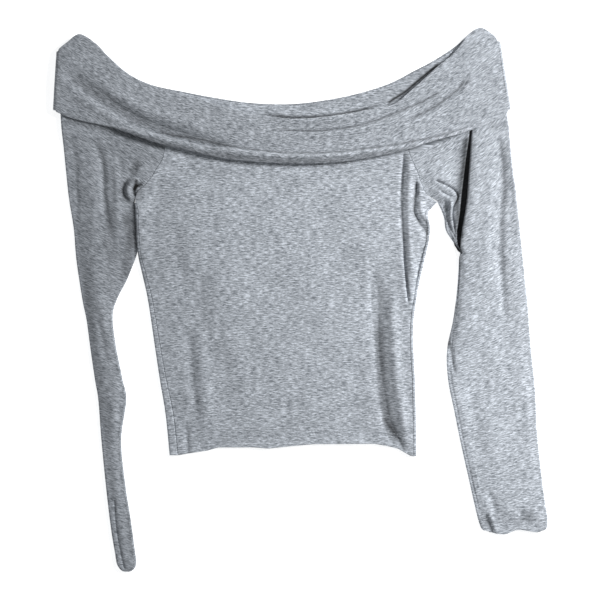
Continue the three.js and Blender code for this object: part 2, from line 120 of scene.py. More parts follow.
collar = {
    # from end to end: lower fold x and y, neck edge x and y, then both heights on the back layer
    "sections": np.array([
        (-325.4, 250, -320.8, 327.4, 250, 327.4),
        (-309, 242.1, -306.2, 339.2, 243.5, 339.2),
        (-288, 235.6, -289.6, 349.8, 238.9, 349.8),
        (-266.6, 231.2, -268, 337, 235, 337),
        (-245.5, 226, -253.4, 321.4, 229.7, 322.1),
        (-217.8, 216.5, -227, 298.3, 223.1, 299),
        (-184.8, 205.3, -195.4, 282.5, 213.8, 283.8),
        (-145.2, 196, -153.1, 269.9, 205.9, 274.6),
        (-105.6, 186.8, -110.9, 257.4, 200.6, 266.6),
        (-59.4, 181.3, -63.4, 244.7, 198, 260),
        (-10.6, 179, -10.6, 237.9, 197.3, 258.7),
        (39.6, 180, 39.6, 241.6, 199.3, 264.7),
        (81.8, 185.2, 84.5, 249, 203.3, 274.6),
        (116.2, 191.6, 121.4, 257, 207.9, 287.1),
        (145.2, 198.7, 149.2, 278.5, 213.2, 301.6),
        (176.9, 209.2, 175.6, 302.3, 219.8, 315.5),
        (208.6, 217.8, 203.3, 326, 226.4, 333.3),
        (237.6, 227.7, 223, 350.5, 233.6, 350.5),
        (261.4, 238.3, 240.2, 357.7, 240.9, 357.7),
        (277.9, 250.8, 264, 340.6, 250.8, 340.6),
    ]),
    "length": 650,  # about, of the band as it lies
    "depth": 72,
    "spacing": (2.1, 1.15),  # of its points, along the band and across it
    "least": 0.4,  # least air under the front of the band, then that at its edges and its middle
    "edge": 0.8,
    "middle": 3.2,
    "endRound": 3.5,
    "endShares": (0, 0.02, 0.98, 1),  # parts of its length over which the rounding comes in
    "endSteps": 12,
    "backMargin": 0.1,  # points no higher than this above the back layer take the back's painted shadows
    "streakStretch": 1.1,
    # the knit's rows run level with this line
    "streakLine": [(-340, 322), (-218, 256), (-185, 243), (-145, 232), (-106, 221), (-59, 212.7),
                   (-10.6, 209), (40, 211.6), (82, 217.8), (116, 224.7), (145, 238.6), (177, 255.7),
                   (209, 272), (340, 348)],
    "folds": [
        fold(12, 8.5, 0.12, (100, 125), (118, 128.5), (140, 134), (170, 141), (197, 147.2), (225, 152),
             (260, 156), (300, 157.6), (330, 156.8), (362, 153), (400, 147.4), (440, 138.4), (474, 128.5),
             (492, 122), left=3, crest=1.05),  # roll along the foot
        fold(6, -6, 0.12, (62, 75), (83, 87), (100, 98.5), (126, 116.5), (155, 130), (189, 141.4),
             (212, 147), (236, 151), left=9),
        fold(9, 2.2, 0.3, (95, 80), (125, 101), (155, 115), (190, 126), (230, 135)),
        fold(6, 1.6, 0.3, (70, 94), (95, 108), (115, 120), (135, 128)),
        fold(2.2, -3.8, 0.2, (280, 131.5), (320, 132.8), (345, 130), (360, 127), (374, 122.6), (390, 117),
             (404, 110), (420, 104.5), (437, 97), (449, 88), left=5, crest=1.4),
        fold(6, 2.6, 0.3, (300, 136), (340, 134), (375, 126), (410, 113), (440, 101)),
        fold(2.6, -5, 0.2, (402, 126), (425, 114), (437, 107), (450, 98), (461, 88), (472, 76), left=6,
             crest=1.4),
        fold(4, 2.4, 0.3, (268, 121), (300, 122), (340, 119), (372, 112), (392, 106)),
        fold(5, -1.3, 0.3, (430, 125), (450, 117), (470, 107), (490, 94)),
        fold(6, -1.2, 0.3, (445, 60), (462, 50), (480, 42)),
    ],
    # painted shade and painted highlights on the band's colour: dark creases, a dark underside below the
    # roll and a lit line on its ridge
    "shadows": [
        fold(6.4, -0.32, 0.12, (66, 76), (83, 85), (99, 94.4), (127, 114), (156, 127), (190, 138.6),
             (213, 144.4), (238, 149)),
        fold(1.2, -0.55, 0.12, (268, 130), (300, 132), (329, 131), (360, 126), (390, 116), (420, 103.5),
             (449, 87), left=2.2),
        fold(2.5, 0.1, 0.25, (296, 134.6), (329, 133.6), (361, 129), (391, 119), (421, 106.5)),
        fold(1.5, -0.52, 0.2, (402, 125), (425, 113), (437, 106), (450, 97), (461, 87), (472, 75),
             left=3.6),
        fold(3, 0.13, 0.25, (404, 128), (427, 116.5), (440, 109), (453, 99.5), (465, 88)),
        fold(1.4, 0.26, 0.07, (130, 129.5), (170, 139.4), (197, 145.4), (240, 151.4), (270, 154.8),
             (300, 156.7), (330, 156), (360, 152.9), (400, 147.4), (440, 139.2), (466, 131.6), (480, 127)),
        fold(1.7, -0.42, 0.06, (150, 129), (170, 135.6), (197, 139.4), (225, 145.8), (240, 148.8),
             (270, 152.8), (300, 154.3), (330, 153.6), (360, 150.5), (400, 145.2), (440, 137.2),
             (466, 129.4), (478, 125)),
        fold(4, -0.24, 0.12, (102, 129), (120, 131.2), (145, 138.8), (170, 145.2), (197, 151.6),
             (240, 158.4), (270, 161.2), (300, 162.4), (330, 161.2), (360, 158), (400, 151.6), (425, 145)),
    ],
    # painted shade: the band's colour darker towards its left end, where less light falls
    "shade": [(-325, 0.68), (-290, 0.72), (0, 0.8), (250, 0.87), (280, 0.8)],
}

# Raglan seams from under the collar to the underarm; each goes on to the neck at neckX
raglanLeft = {
    "neckX": -161,
    "points": [(-169, 237.6), (-177.5, 202.8), (-181.4, 186.1), (-188.8, 174.2), (-196.7, 161),
               (-206.6, 149.8), (-215.4, 142.6), (-217.8, 128)],
}
raglanRight = {
    "neckX": 132,
    "backNeckX": 205,  # the back's seam leans out of sight under the collar
    "points": [(136, 237.6), (143, 196.7), (150.5, 177.5), (154.3, 169), (159.3, 154.8),
               (165.7, 140.8), (175.5, 133.5)],
}

# Folds that run on under the collar or across a raglan seam
sharedFolds = [
    fold(14, 3, 0.2, (411, 138), (413, 170), (414, 200), (415, 235), (413, 270), (408, 330)),
    fold(1.3, -4.6, 0.1, (403.4, 148), (402.6, 165), (401, 180), (400.2, 200), (400.8, 220), (402.8, 245),
         (404.8, 272), (408.6, 309), left=1.9, crest=1.3),
    fold(3.4, 1.7, 0.12, (409.2, 146), (409.2, 175), (408.4, 200), (408.6, 225), (410, 250), (411.4, 279)),
]

body = {
    "leftSide": [(-217.4, 128), (-216, 92.4), (-213.6, 60), (-208, 34), (-200.6, 0), (-192.7, -52.8),
                 (-184.8, -105.6), (-177.5, -150), (-172, -204.6)],
    "rightSide": [(180.4, 129.5), (173.4, 121), (168.8, 113.5), (171.5, 96), (170.3, 79.2),
                  (164.6, 52.8), (155.6, 13.2), (149.6, -33), (149.8, -66), (151.8, -105.6),
                  (153.1, -158.4), (153.6, -205.9)],
    "hem": [(-172, -204.6), (-156, -202), (-140, -199.3), (-122, -196.7), (-108, -192.7),
            (-61, -192.7), (-42, -194.4), (-13, -191.4), (18, -188.8), (98, -188.8),
            (113.5, -191.4), (129.4, -195.4), (145.2, -204.6), (153, -205.9)],
    "wrapLeft": [(-210, 8.5), (-150, 7.5), (-75, 4.5), (0, 3), (45, 1.5), (62, 0.5), (130, 0.4)],
    "wrapRight": [(-210, 1.2), (130, 1.2)],  # how far the back comes round, by height
    "hemDepth": 16,
    "hemExtra": 0.5,  # thicker by this
    "stitchRows": (14.2, 18.6),  # from the edge
    "hemStep": (2.5, 5),  # past the hem's depth, where its thickness ends
    "stitchDent": 0.4,
    "dentWidth": 0.9,
    "cuffStraightens": 12,  # power of the share of the sleeve that follows a cuff's edge
    "wrapShares": (0.35, 0.7, 1),  # where the points on the wrap lie
    "width": 385,  # about, then the lengths above and below the underarm
    "yokeLength": 125,
    "length": 330,
    "across": [(75, 1.8), (298, 3.1), (385, 1.3)],  # spacing of the cloth's points up to each place
    "down": 2.1,
    "backSpacing": 2.8,
    "folds": [
        fold(5, -4.2, 0.1, (416, 178), (416.5, 191), (415, 205), (415, 212), (416.5, 216), (419, 221),
             (424, 227), (427.3, 231), (427, 239), left=1.3, crest=1.3),
        fold(1.8, 2.2, 0.15, (419.5, 180), (420, 205), (422, 215), (427, 222), (430.5, 229), left=4,
             crest=1.6),
        fold(1.6, -2.6, 0.1, (427, 237), (419, 265), (415, 290), (411.5, 312), crest=1.4),
        fold(6, -3.2, 0.18, (374, 255), (374, 290), (375, 320), (377, 350), (380, 385), (385, 415),
             (392, 440), (398, 462), left=6.4),
        fold(2.6, -2.4, 0.2, (380, 414), (385, 423), (393, 433), (399, 442), (404, 452), left=4.4,
             crest=1.5),
        fold(7.6, 3.8, 0.18, (392.5, 280), (392.5, 320), (394, 350), (397, 380), (400.6, 405), (406, 435),
             (411, 460)),
        fold(9, 1.2, 0.3, (362, 300), (364, 350), (369, 400), (376, 440)),
        fold(6, -1.9, 0.35, (188, 312), (189.5, 340), (191.4, 370), (194.6, 400), (196, 430), (195, 456)),
        fold(9, 1.7, 0.4, (200, 300), (203, 370), (207, 420), (209, 456)),
        fold(3.4, -1.7, 0.25, (185.5, 422), (187, 438), (188, 460)),
        fold(9, -1.2, 0.35, (172, 205), (176, 240), (182, 280), (186, 310)),
        fold(8, 1, 0.35, (160, 220), (163, 260), (168, 300)),
        # the side that stands over the sleeve
        fold(13, 2.4, 0.25, (139, 185), (139, 205), (141, 228), (144, 250), (149, 285)),
        fold(26, 0.9, 0.4, (230, 160), (228, 230), (236, 300)),
        fold(24, -0.9, 0.4, (330, 165), (335, 240), (330, 330)),
    ],
    # painted shade and painted highlights on the panels' colour: dark creases, shadows beside raised folds
    # and at the underarm, lit ridges
    "shadows": [
        fold(1.3, -0.42, 0.1, (404, 152), (402.8, 180), (402, 200), (402.6, 222), (404.4, 248),
             (406.4, 275), (409.6, 300), left=1.5),
        fold(2.2, -0.6, 0.12, (415.6, 180), (416, 191), (414.6, 205), (414.8, 213), (418.6, 221.4),
             (423.6, 227.4), (427, 232), (426, 241), left=0.9),
        fold(8.4, -0.26, 0.16, (383.5, 268), (383, 320), (384, 350), (386, 380), (388.6, 405), (394, 430),
             (402, 452)),
        fold(2.6, -0.3, 0.2, (382, 414), (387, 423), (395, 433), (400.6, 442), (405, 451)),
        fold(8, -0.12, 0.3, (200, 437), (230, 435), (260, 433), (300, 433)),
        fold(6, 0.09, 0.25, (296, 441), (330, 440), (376, 440)),
        fold(40, -0.09, 0.3, (168, 190), (170, 300), (178, 380), (184, 450)),
        fold(30, -0.11, 0.25, (152, 155), (160, 200), (168, 240), (178, 290)),
        fold(15, -0.16, 0.25, (208, 250), (208, 300), (213, 330), (224, 352), (231, 372), (236, 392),
             (240, 430)),
        fold(7.4, -0.35, 0.12, (378.6, 318), (379.6, 350), (381, 380), (383, 400), (388, 420), (395, 436),
             (400, 450)),
        fold(4, -0.2, 0.25, (425, 213), (428, 231), (424, 250)),
        fold(6.5, 0.13, 0.25, (412, 238), (414.4, 262), (411, 300), (407, 350)),
        fold(20, 0.1, 0.3, (350, 300), (352, 360), (351, 420)),
        fold(12, 0.07, 0.3, (262, 168), (300, 170), (345, 168)),
        fold(10, -0.08, 0.3, (186, 378), (188, 405), (189, 440)),
        fold(3.4, -0.13, 0.2, (187, 424), (189.6, 440), (190.4, 458)),
        fold(5.4, -0.44, 0.2, (146, 179), (141, 186.5), (138.6, 194), (138, 204)),
        fold(14, -0.1, 0.3, (138, 190), (140, 225), (145, 270), (150, 320)),
        fold(1.6, -0.4, 0.1, (142.6, 184.4), (140, 187.6), (136.6, 192), (135.6, 197)),
    ],
    # painted shadow in the crevice below the front collar's neck edge, on the back layers seen there
    "backShadows": [
        fold(2.4, -0.85, 0.2, (255, 114), (285, 117), (300, 117.8), (330, 116), (360, 111), (386, 103)),
        fold(2, -0.9, 0.06, (386, 104.5), (396, 97.8), (405, 92), (418, 81), (430, 71), (440, 63)),
        fold(12, -0.2, 0.2, (362, 104), (392, 90), (416, 72), (440, 52)),
        fold(11, -0.13, 0.25, (262, 104), (300, 106), (340, 102), (380, 92)),
    ],
}

leftSleeve = {
    "yoke": [(-311, 332.6), (-313, 318), (-315.5, 290), (-316.3, 262), (-315.5, 243), (-314.2, 224.4),
             (-311.5, 198), (-308.9, 171.6), (-306.2, 145.2), (-304, 128)],
    "outer": [(-304, 128), (-298.3, 92.4), (-295, 52.8), (-287, 0), (-281.6, -26.4), (-276.2, -66),
              (-270.4, -105.6), (-266, -132), (-262, -184.8), (-255.4, -250.8), (-249, -303.6),
              (-242.4, -343), (-240.3, -357.8)],
    "inner": [(-217.7, 128), (-215.2, 112), (-214.4, 92.4), (-213, 69), (-226.5, 30.4), (-241.6, 0),
              (-246.8, -22), (-243, -58), (-233.6, -105.6), (-228.9, -132), (-235.6, -184.8), (-230, -245),
              (-223, -290.4), (-216, -343), (-215.5, -357.8)],
    "cuffEdge": [(0, 0), (1, 0)],
    "corner": (10.5, 13),
    "innerRound": [(-360, 1), (130, 1)],  # how fully the inner side rounds out
    "depth": [(-360, 6.5), (-60, 6.5), (0, 5.5), (60, 4.2), (128, 2.8)],  # lower down it is folded up
    "innerRoll": [(-360, 2.5), (-60, 2.5), (50, 1.8), (72, 3.4), (116, 3.4), (134, 0)],
    "outerRoll": [(-360, 2.5), (-100, 3.4), (0, 3.2), (128, 1.6), (200, 1), (240, 0)],
    "rollWidths": (7, 9),
    "sleeveRise": [(-360, 0), (-60, 0), (60, 1.2), (130, 1.6), (180, 1.4), (225, 0)],
    "streakSlope": [(-360, 0.3), (0, 0.35), (120, 0.55), (350, 0.6)],
    "across": (90, 1.6),
    "backColumns": 18,
    "yokeRows": [(190, 1.7)],
    "lowerRows": [(75, 1.5), (460, 2.3)],
    "folds": [
        fold(4.6, -2.4, 0.3, (90, 132), (98, 148), (102.6, 165), (103.8, 190), (106, 208), (110, 228),
             (115, 248)),
        fold(9, 1.8, 0.25, (91, 150), (93, 190), (95, 230), (98, 290), (104, 340)),
        fold(5, 1.6, 0.25, (116, 158), (117, 180), (117.4, 205), (121, 235)),
        fold(5.4, -1.9, 0.35, (70, 130), (75, 160), (75, 190), (78, 220)),
        fold(6, -1.8, 0.3, (136, 158), (131, 168), (127.5, 178)),
        fold(2.8, -2.6, 0.2, (139, 163), (134, 172), (128, 179), (124, 186), (124, 194), (127, 201)),
        fold(2.6, 3.8, 0.12, (140, 180.5), (134, 181.4), (129.6, 185), (128.2, 190), (129.4, 196),
             (132.6, 203), crest=1.6),  # curl of cloth at the underarm
        fold(2.2, -3, 0.12, (143, 183), (138, 186), (134, 189), (134.5, 197)),
        fold(1.6, -1.4, 0.05, (-244.5, -262), (-243, -290), (-239.5, -315), (-234.4, -341), (-230.6, -356),
             crest=1.5, onTable=True),  # seam, turned to the front
        fold(5, -1.6, 0.3, (96, 300), (104, 345), (109, 372)),
        fold(6, 1.2, 0.3, (110, 330), (118, 372), (117, 400)),
    ],
    # painted shade and painted shadows on the sleeve's colour: the dark underarm pocket, shade under the
    # collar's foot and along creases
    "shadows": [
        fold(9.5, -0.6, 0.06, (138.4, 196), (137, 213), (138, 230), (139.6, 250)),
        fold(3.8, -0.5, 0.15, (131, 178.6), (127, 181.6), (124, 189), (125.6, 196), (130, 202), left=2),
        fold(1.8, -0.17, 0.1, (139, 180.6), (134, 181.4), (129.6, 185), (128.2, 190), (129.4, 196),
             (132, 202)),
        fold(2.6, -0.85, 0.08, (143, 184), (137, 186.4), (134.6, 190), (135.4, 197)),
        fold(5.5, -0.36, 0.25, (141, 158), (135, 169), (129.5, 177)),
        fold(5, -0.27, 0.2, (92, 134), (100, 150), (105, 172), (105.5, 190), (107.5, 212), (110.4, 230),
             (115, 248)),
        fold(4, -0.34, 0.06, (64, 118), (85, 125), (105, 130), (125, 135), (150, 143), (166, 148.5)),
        fold(2.6, -0.8, 0.15, (137.6, 179), (135.8, 184.6), (134.8, 191)),
        fold(6.5, -0.42, 0.2, (123, 204), (127, 220), (129.6, 232), (130, 246), (128, 262), (121, 288)),
        fold(11, -0.12, 0.25, (108, 196), (111, 240), (117, 272)),
        fold(5.4, -0.38, 0.2, (80, 283), (88.6, 325), (94, 365), (98.4, 400), (101.6, 440)),
        fold(14, -0.1, 0.25, (98, 215), (103, 255), (107, 288)),
        fold(10, -0.13, 0.25, (128, 156), (122, 180), (122, 206)),
        fold(8, -0.18, 0.2, (127, 492), (130.6, 530), (134, 566)),
    ],
    "shade": [(-360, 0.79), (0, 0.74), (240, 0.72)],  # painted shade: the whole sleeve darkened, as if it hung turned from the light
}
rightSleeve = {
    "yoke": [(256.5, 343.3), (260.5, 318), (265, 290), (269.5, 262), (273.2, 243), (275.9, 224.4),
             (278.5, 198), (281.2, 171.6), (285, 145.2), (286.6, 130.2)],
    "outer": [(286.6, 130.2), (290.4, 92.4), (295.7, 39.6), (301, -13.2), (304.9, -66), (310.2, -118.8),
              (312.8, -171.6), (318, -224.4), (322.6, -262), (326.6, -288), (325.2, -303.5)],
    "inner": [(181.5, 130.2), (189.7, 109.6), (192.2, 92.9), (199.7, 80.5), (211, 64), (209.9, 52.8),
              (207.2, 13.2), (202, -26.4), (194, -66), (195.4, -105.6), (203.3, -145.2),
              (211.2, -184.8), (223, -237.6), (233.6, -283.8), (240.2, -303.6)],
    "cuffEdge": [(0, 0), (0.1, 3), (0.25, 4.8), (0.36, 4.6), (0.5, 0.2), (0.62, -0.6), (0.76, 1),
                 (0.9, 2.4), (1, 0)],
    "corner": (3.5, 5),
    "innerRound": [(-360, 1), (42, 1), (58, 0.3), (74, 0.3), (96, 0.8), (115, 1)],
    "depth": None,
    "innerRoll": [(-310, 1.6), (40, 1.6), (62, 1.6), (72, 0.6), (120, 0.6), (134, 0)],
    "outerRoll": [(-310, 1.2), (128, 1.2), (200, 0.8), (240, 0)],
    "rollWidths": (3.5, 7),
    "sleeveRise": [(-310, 0.8), (0, 1.4), (130, 1.4), (180, 1.2), (225, 0)],
    "streakSlope": [(-310, 0.15), (-100, 0.3), (60, 0.5), (200, 0.75), (350, 0.75)],
    "backColumns": 24,
    "yokeRows": [(60, 3), (190, 1.7)],
    "lowerRows": [(78, 1.4), (385, 2.7), (460, 1.8)],
    "folds": [
        fold(1.6, -3, 0.06, (434, 180), (449, 187), (455.5, 192.5), (457.4, 198), (454.5, 204), (452, 211),
             (453, 222), (455.5, 236), crest=1.4),  # underarm seam
        fold(1.6, -2.2, 0.2, (438, 190), (450, 196.6), (456, 196), crest=1.6),
        fold(3.4, -3, 0.25, (446, 200), (445.5, 207), (447.5, 214)),
        fold(2, 2.4, 0.2, (451, 199), (450.5, 210), (449.5, 222)),
        fold(2.2, 1.4, 0.2, (440, 204), (443.5, 216), (446.5, 230), (452, 241)),
        fold(1.6, -1.6, 0.2, (447, 218), (450, 228), (456, 240)),
        fold(4.6, -2.8, 0.15, (496.6, 128), (500, 151), (501.6, 171), (502.4, 188), (500.4, 213),
             (500, 238), (502, 290), (505, 330)),
        fold(9, 2, 0.3, (490, 150), (489, 200), (487, 250), (486, 300)),
        fold(5, 1.6, 0.3, (510, 140), (514, 170), (516, 210), (518, 260)),
        fold(1.8, -2.6, 0.15, (448.5, 334), (450, 345), (452, 358), (455, 376), crest=1.5),
        fold(12, -1.1, 0.3, (500, 300), (510, 380), (516, 440), (520, 480)),
        fold(10, 1.3, 0.3, (480, 380), (488, 430), (494, 470)),
        fold(2.6, 1.5, 0.3, (472.6, 466), (475.6, 480), (478, 496)),
        fold(4.5, -2.6, 0.3, (485, 488), (491, 499), (496, 514)),
        fold(3, -3.2, 0.12, (484, 513), (489, 522), (493.6, 534), left=1.4, crest=1.5),
        fold(1.8, 2.4, 0.15, (488, 512), (492.5, 521), (497, 534)),
        fold(8, -2.6, 0.3, (523, 508), (526, 517), (530, 525)),
        fold(3.5, -1.5, 0.2, (479, 508), (482, 520), (486, 530)),
    ],
    # painted shade and painted highlights on the sleeve's colour: the underarm, the creases, the cuff and
    # lit parts of the tab
    "shadows": [
        fold(1.2, -0.55, 0.1, (434, 180), (449, 187), (455.5, 192.5), (457.4, 198), (454.5, 204),
             (452, 211)),
        fold(3, -0.3, 0.25, (446.5, 202), (445.5, 207), (447.5, 213)),
        fold(3, -0.42, 0.12, (484.5, 515), (489, 523), (493, 533), left=1.2),
        fold(4, -0.12, 0.3, (493, 500), (499, 514)),
        fold(7, -0.14, 0.3, (524, 512), (530, 524)),
        fold(4.5, -0.6, 0.06, (466.4, 134), (463.4, 165), (459.6, 190), (457, 205), (459, 225), (462, 240),
             left=3),  # painted shadow of the tube on the underarm
        fold(7, -0.24, 0.2, (463, 136), (460, 165), (456, 185)),
        fold(5, -0.34, 0.15, (500, 130), (502.6, 160), (503.6, 188), (502, 213), (501.6, 240), (503, 290)),
        fold(5.4, -0.12, 0.2, (495, 130), (496, 170), (495.5, 215), (496, 280)),
        fold(13, 0.1, 0.3, (462, 350), (467, 400), (474, 440)),
        fold(8, 0.17, 0.2, (462, 372), (466, 410), (470, 440), (474, 474)),
        fold(9, -0.2, 0.2, (516, 515), (532, 520), (548, 525)),
        fold(8, -0.13, 0.2, (474, 520), (482, 524), (492, 528)),
        fold(8.5, -0.17, 0.15, (508, 124), (511, 170), (512, 220), (514, 270), (516, 330)),
        fold(7, -0.2, 0.25, (484, 127), (500, 127), (513, 126)),
        fold(11, -0.16, 0.15, (476, 509), (500, 517), (532, 524)),
        fold(5.4, -0.28, 0.2, (446, 212), (450.6, 226), (456, 241)),
        fold(6.5, -0.28, 0.2, (460, 296), (454, 328), (449, 352)),
        fold(22, 0.12, 0.2, (438, 158), (447, 175), (458, 180)),
        fold(2.2, -0.42, 0.06, (461.4, 252), (459.4, 262), (457.2, 290), (453.2, 320), (447.6, 345)),
        fold(1.4, -0.45, 0.15, (448.5, 334), (450.5, 346), (453, 360), (456, 376)),
    ],
    # painted shade and light: the sleeve's colour darker towards the top, lighter lower down
    "shade": [(-310, 1.12), (0, 1.08), (100, 1.01), (180, 0.93), (240, 0.87)],
}

# The right sleeve's main tube stands away from its underarm, with a deep gap between them
tubeLine = [(-305, 249), (-283.8, 242.1), (-237.6, 231.5), (-184.8, 219.7), (-145.2, 211.8),
            (-105.6, 203.9), (-66, 202.5)]
pleat = {
    "radius": 1.2,  # the tube rises by four of these
    "reach": 3,  # and is fully up this much and a radius before lapMiddle
    "slopeBefore": 25,
    "slopeAfter": 8,
    "slopeEnds": 58,
    "lapMiddle": tubeLine + [(-26.4, 210.5), (13.2, 215.7), (52.8, 218.4), (74, 219.4), (99, 220.4),
                             (124, 223.5), (149, 225.2), (175, 227), (200, 230), (222, 233), (350, 238)],
    "lapFullness": [(-10, 0), (60, 1), (188, 1), (238, 0)],
    # by height: where the gap's middle is, half its width and how open it is
    "gapMiddle": tubeLine + [(-26.4, 208), (13.2, 212.5), (52.8, 213), (60, 212), (65, 211), (71, 210),
                             (80, 209.3), (91, 210), (99, 211.2), (113, 213.5), (135, 216), (145, 216.8),
                             (180, 220.5), (213, 223.8), (350, 236)],
    "gapHalf": [(-360, 3), (50, 1), (65, 0.6), (71, 1.6), (80, 2.8), (91, 3.4), (99, 3.5), (113, 3.7),
                (135, 4.3), (145, 4), (180, 3.2), (213, 2), (350, 2)],
    "gapOpen": [(60, 0), (65, 1), (224, 1), (242, 0)],
    # by height: how far the two sides of the gap stand up
    "tabRise": [(60, 0), (75, 1.5), (100, 3), (160, 3), (205, 0.5), (222, 0)],
    "tubeRise": [(-60, 0), (60, 1.6), (150, 2), (205, 0.5), (222, 0)],
    "tabEdge": 1.7,  # radii of the two edges of the gap
    "tubeEdge": 2.3,
    "leastEdge": 0.15,
    "edgeSize": [(60, 0.15), (75, 0.5), (95, 1)],  # they shrink where the gap closes
    "undercut": 4.5,
    "leastTab": 0.4,
    "leastGap": 0.8,
    "tabTurn": (80, -70, 9),  # degrees round each edge, and the points there
    "tubeTurn": (250, 100, 11),
    "tabLight": (0, 1.5),  # radians over which each edge's painted shade lifts
    "tubeLight": (2.1, 4),
    "floorColumns": 7,
    "tabAcross": (50, 1.35),  # width and spacing of the points
    "tubeAcross": (100, 2.7),
    "tabEases": 0.6,  # shares of the width over which the heights come in
    "lapEases": 0.5,
    "outerEases": 0.25,
    "searches": 4,  # times its middle is looked for along the bowed rows
    # painted shade on the gap's floor, and beside its edges
    "gapShade": 0.1,
    "tabShade": 0.25,  # painted shade: how much darker each edge is beside the gap, and how far that reaches
    "tubeShade": 0.3,
    "shadeReach": 3.6,
}


def foldHeight(folds, x, y):
    x, y = np.broadcast_arrays(np.asarray(x, float), np.asarray(y, float))
    height = np.zeros(x.shape)
    for each in folds:
        course, fades = each["course"], each["fades"]
        reach = foldReach * max(each["width"], each["leftWidth"])
        low, high = course.min(0) - reach, course.max(0) + reach
        near = (x > low[0]) & (x < high[0]) & (y > low[1]) & (y < high[1])
        if not near.any():
            continue
        place = np.stack([x[near], y[near]], -1)[:, None, :]
        start, span = course[:-1], np.diff(course, axis=0)
        along = np.clip(((place - start) * span).sum(-1) / (span**2).sum(-1), 0, 1)
        distance = np.linalg.norm(place - start - along[..., None] * span, axis=-1)
        closest = distance.argmin(1)
        picked = np.arange(len(closest))
        share = (closest + along[picked, closest]) / len(span)
        ends = smoothStep(share, 0, fades) * smoothStep(1 - share, 0, fades)
        across = place[:, 0] - start[closest]
        onLeft = span[closest, 0] * across[:, 1] > span[closest, 1] * across[:, 0]
        width = np.where(onLeft, each["leftWidth"], each["width"])
        profile = np.exp(-((distance[picked, closest] / width) ** each["crest"]))
        height[near] += each["height"] * ends * profile
    return height


# painted shade and painted highlights: a factor for the cloth's colour from the given courses
def paintedShadingOn(points, shadows):
    return 1 + foldHeight(shadows, points[..., 0], points[..., 1])


# The collar's edges as fine curves, all with the same number of points
sections = np.hstack([smoothCourse(collar["sections"][:, pair]) for pair in ([0, 1], [2, 3], [4, 5])])
frontHead, backHead = sections[:, [2, 3]], sections[:, [2, 5]]
frontFoot, backFoot = sections[:, [0, 1]], sections[:, [0, 4]]


def backLevel(x, y):
    below = valueAt(backFoot, x) - y
    lift = 1 - smoothStep(below, cloth["stepStarts"], cloth["stepEnds"])
    return cloth["thickness"] / 2 + lift * (cloth["collarThickness"] + cloth["seamGap"])


def frontLevel(x, y):
    swell = cloth["swellHeight"] * np.exp(-(((x - cloth["swellMiddle"]) / cloth["swellReach"]) ** 4))
    a, b, c, d, e = cloth["waves"]
    uneven = cloth["unevenness"] * (np.sin(x / a + np.sin(y / b)) * np.sin(y / c + 0.8)
                                    + 0.6 * np.sin((x + y) / d + np.sin(x / e)))
    below = smoothStep(valueAt(frontFoot, x) - y, *cloth["wavesStart"])
    lift = touching + cloth["layerAir"] + swell + uneven * below + foldHeight(sharedFolds, x, y)
    return backLevel(x, y) + np.maximum(touching, lift)


def bodyTop(flat):
    x, y = flat[..., 0], flat[..., 1]
    level = np.maximum(backLevel(x, y) + touching, frontLevel(x, y) + foldHeight(body["folds"], x, y))
    return np.concatenate([flat, level[..., None]], -1)


def onBack(flat):
    return np.concatenate([flat, backLevel(flat[..., 0], flat[..., 1])[..., None]], -1)


def tubeRise(x, y):
    half = pleat["reach"] + pleat["radius"]
    past = x - valueAt(pleat["lapMiddle"], y)
    before = smoothStep(past, -pleat["slopeBefore"], -half)
    side = np.where(past < 0, before, 1 - smoothStep(past, pleat["slopeAfter"], pleat["slopeEnds"]))
    return 4 * pleat["radius"] * valueAt(pleat["lapFullness"], y) * side


class Cloth:
    # rows of points joined in turn, each with its place on the cloth, how near full thickness it is and
    # how much painted shade or painted light is in its colour

    def __init__(self, turned=False):
        self.turned = turned
        self.points, self.fullness, self.shade, self.relief = [], [], [], []
        self.quads, self.quadPlan = [], []
        self.count = 0
        self.last = None

    def row(self, points, fullness=None, shade=None, relief=None):
        ids = np.arange(self.count, self.count + len(points))
        self.count += len(points)
        self.relief.append(np.zeros(len(points)) if relief is None else relief)
        self.points.append(np.asarray(points, float))
        self.fullness.append(np.ones(len(points)) if fullness is None else fullness)
        self.shade.append(np.ones(len(points)) if shade is None else shade)
        return ids

    def follow(self, ids, plan, skipped=0):
        # joins a row to the one before; the first row that closes round joins an open one with the part
        # of it that matches, after the skipped points
        if self.last:
            a, planA = self.last
            part = slice(None) if len(a) == len(ids) else slice(skipped, skipped + len(a))
            b, planB = ids[part], plan[part]
            if self.turned:
                a, b, planA, planB = b, a, planB, planA
            self.quads.append(np.stack([a[:-1], b[:-1], b[1:], a[1:]], -1))
            self.quadPlan.append(np.stack([planA[:-1], planB[:-1], planB[1:], planA[1:]], 1))
        self.last = ids, plan


def pointNormals(points, quads):
    a, b, c, d = (points[quads[:, k]] for k in range(4))
    faceNormals = np.cross(c - a, d - b)
    normals = np.zeros_like(points)
    for k in range(4):
        np.add.at(normals, quads[:, k], faceNormals)
    return normals / np.linalg.norm(normals, axis=1, keepdims=True)


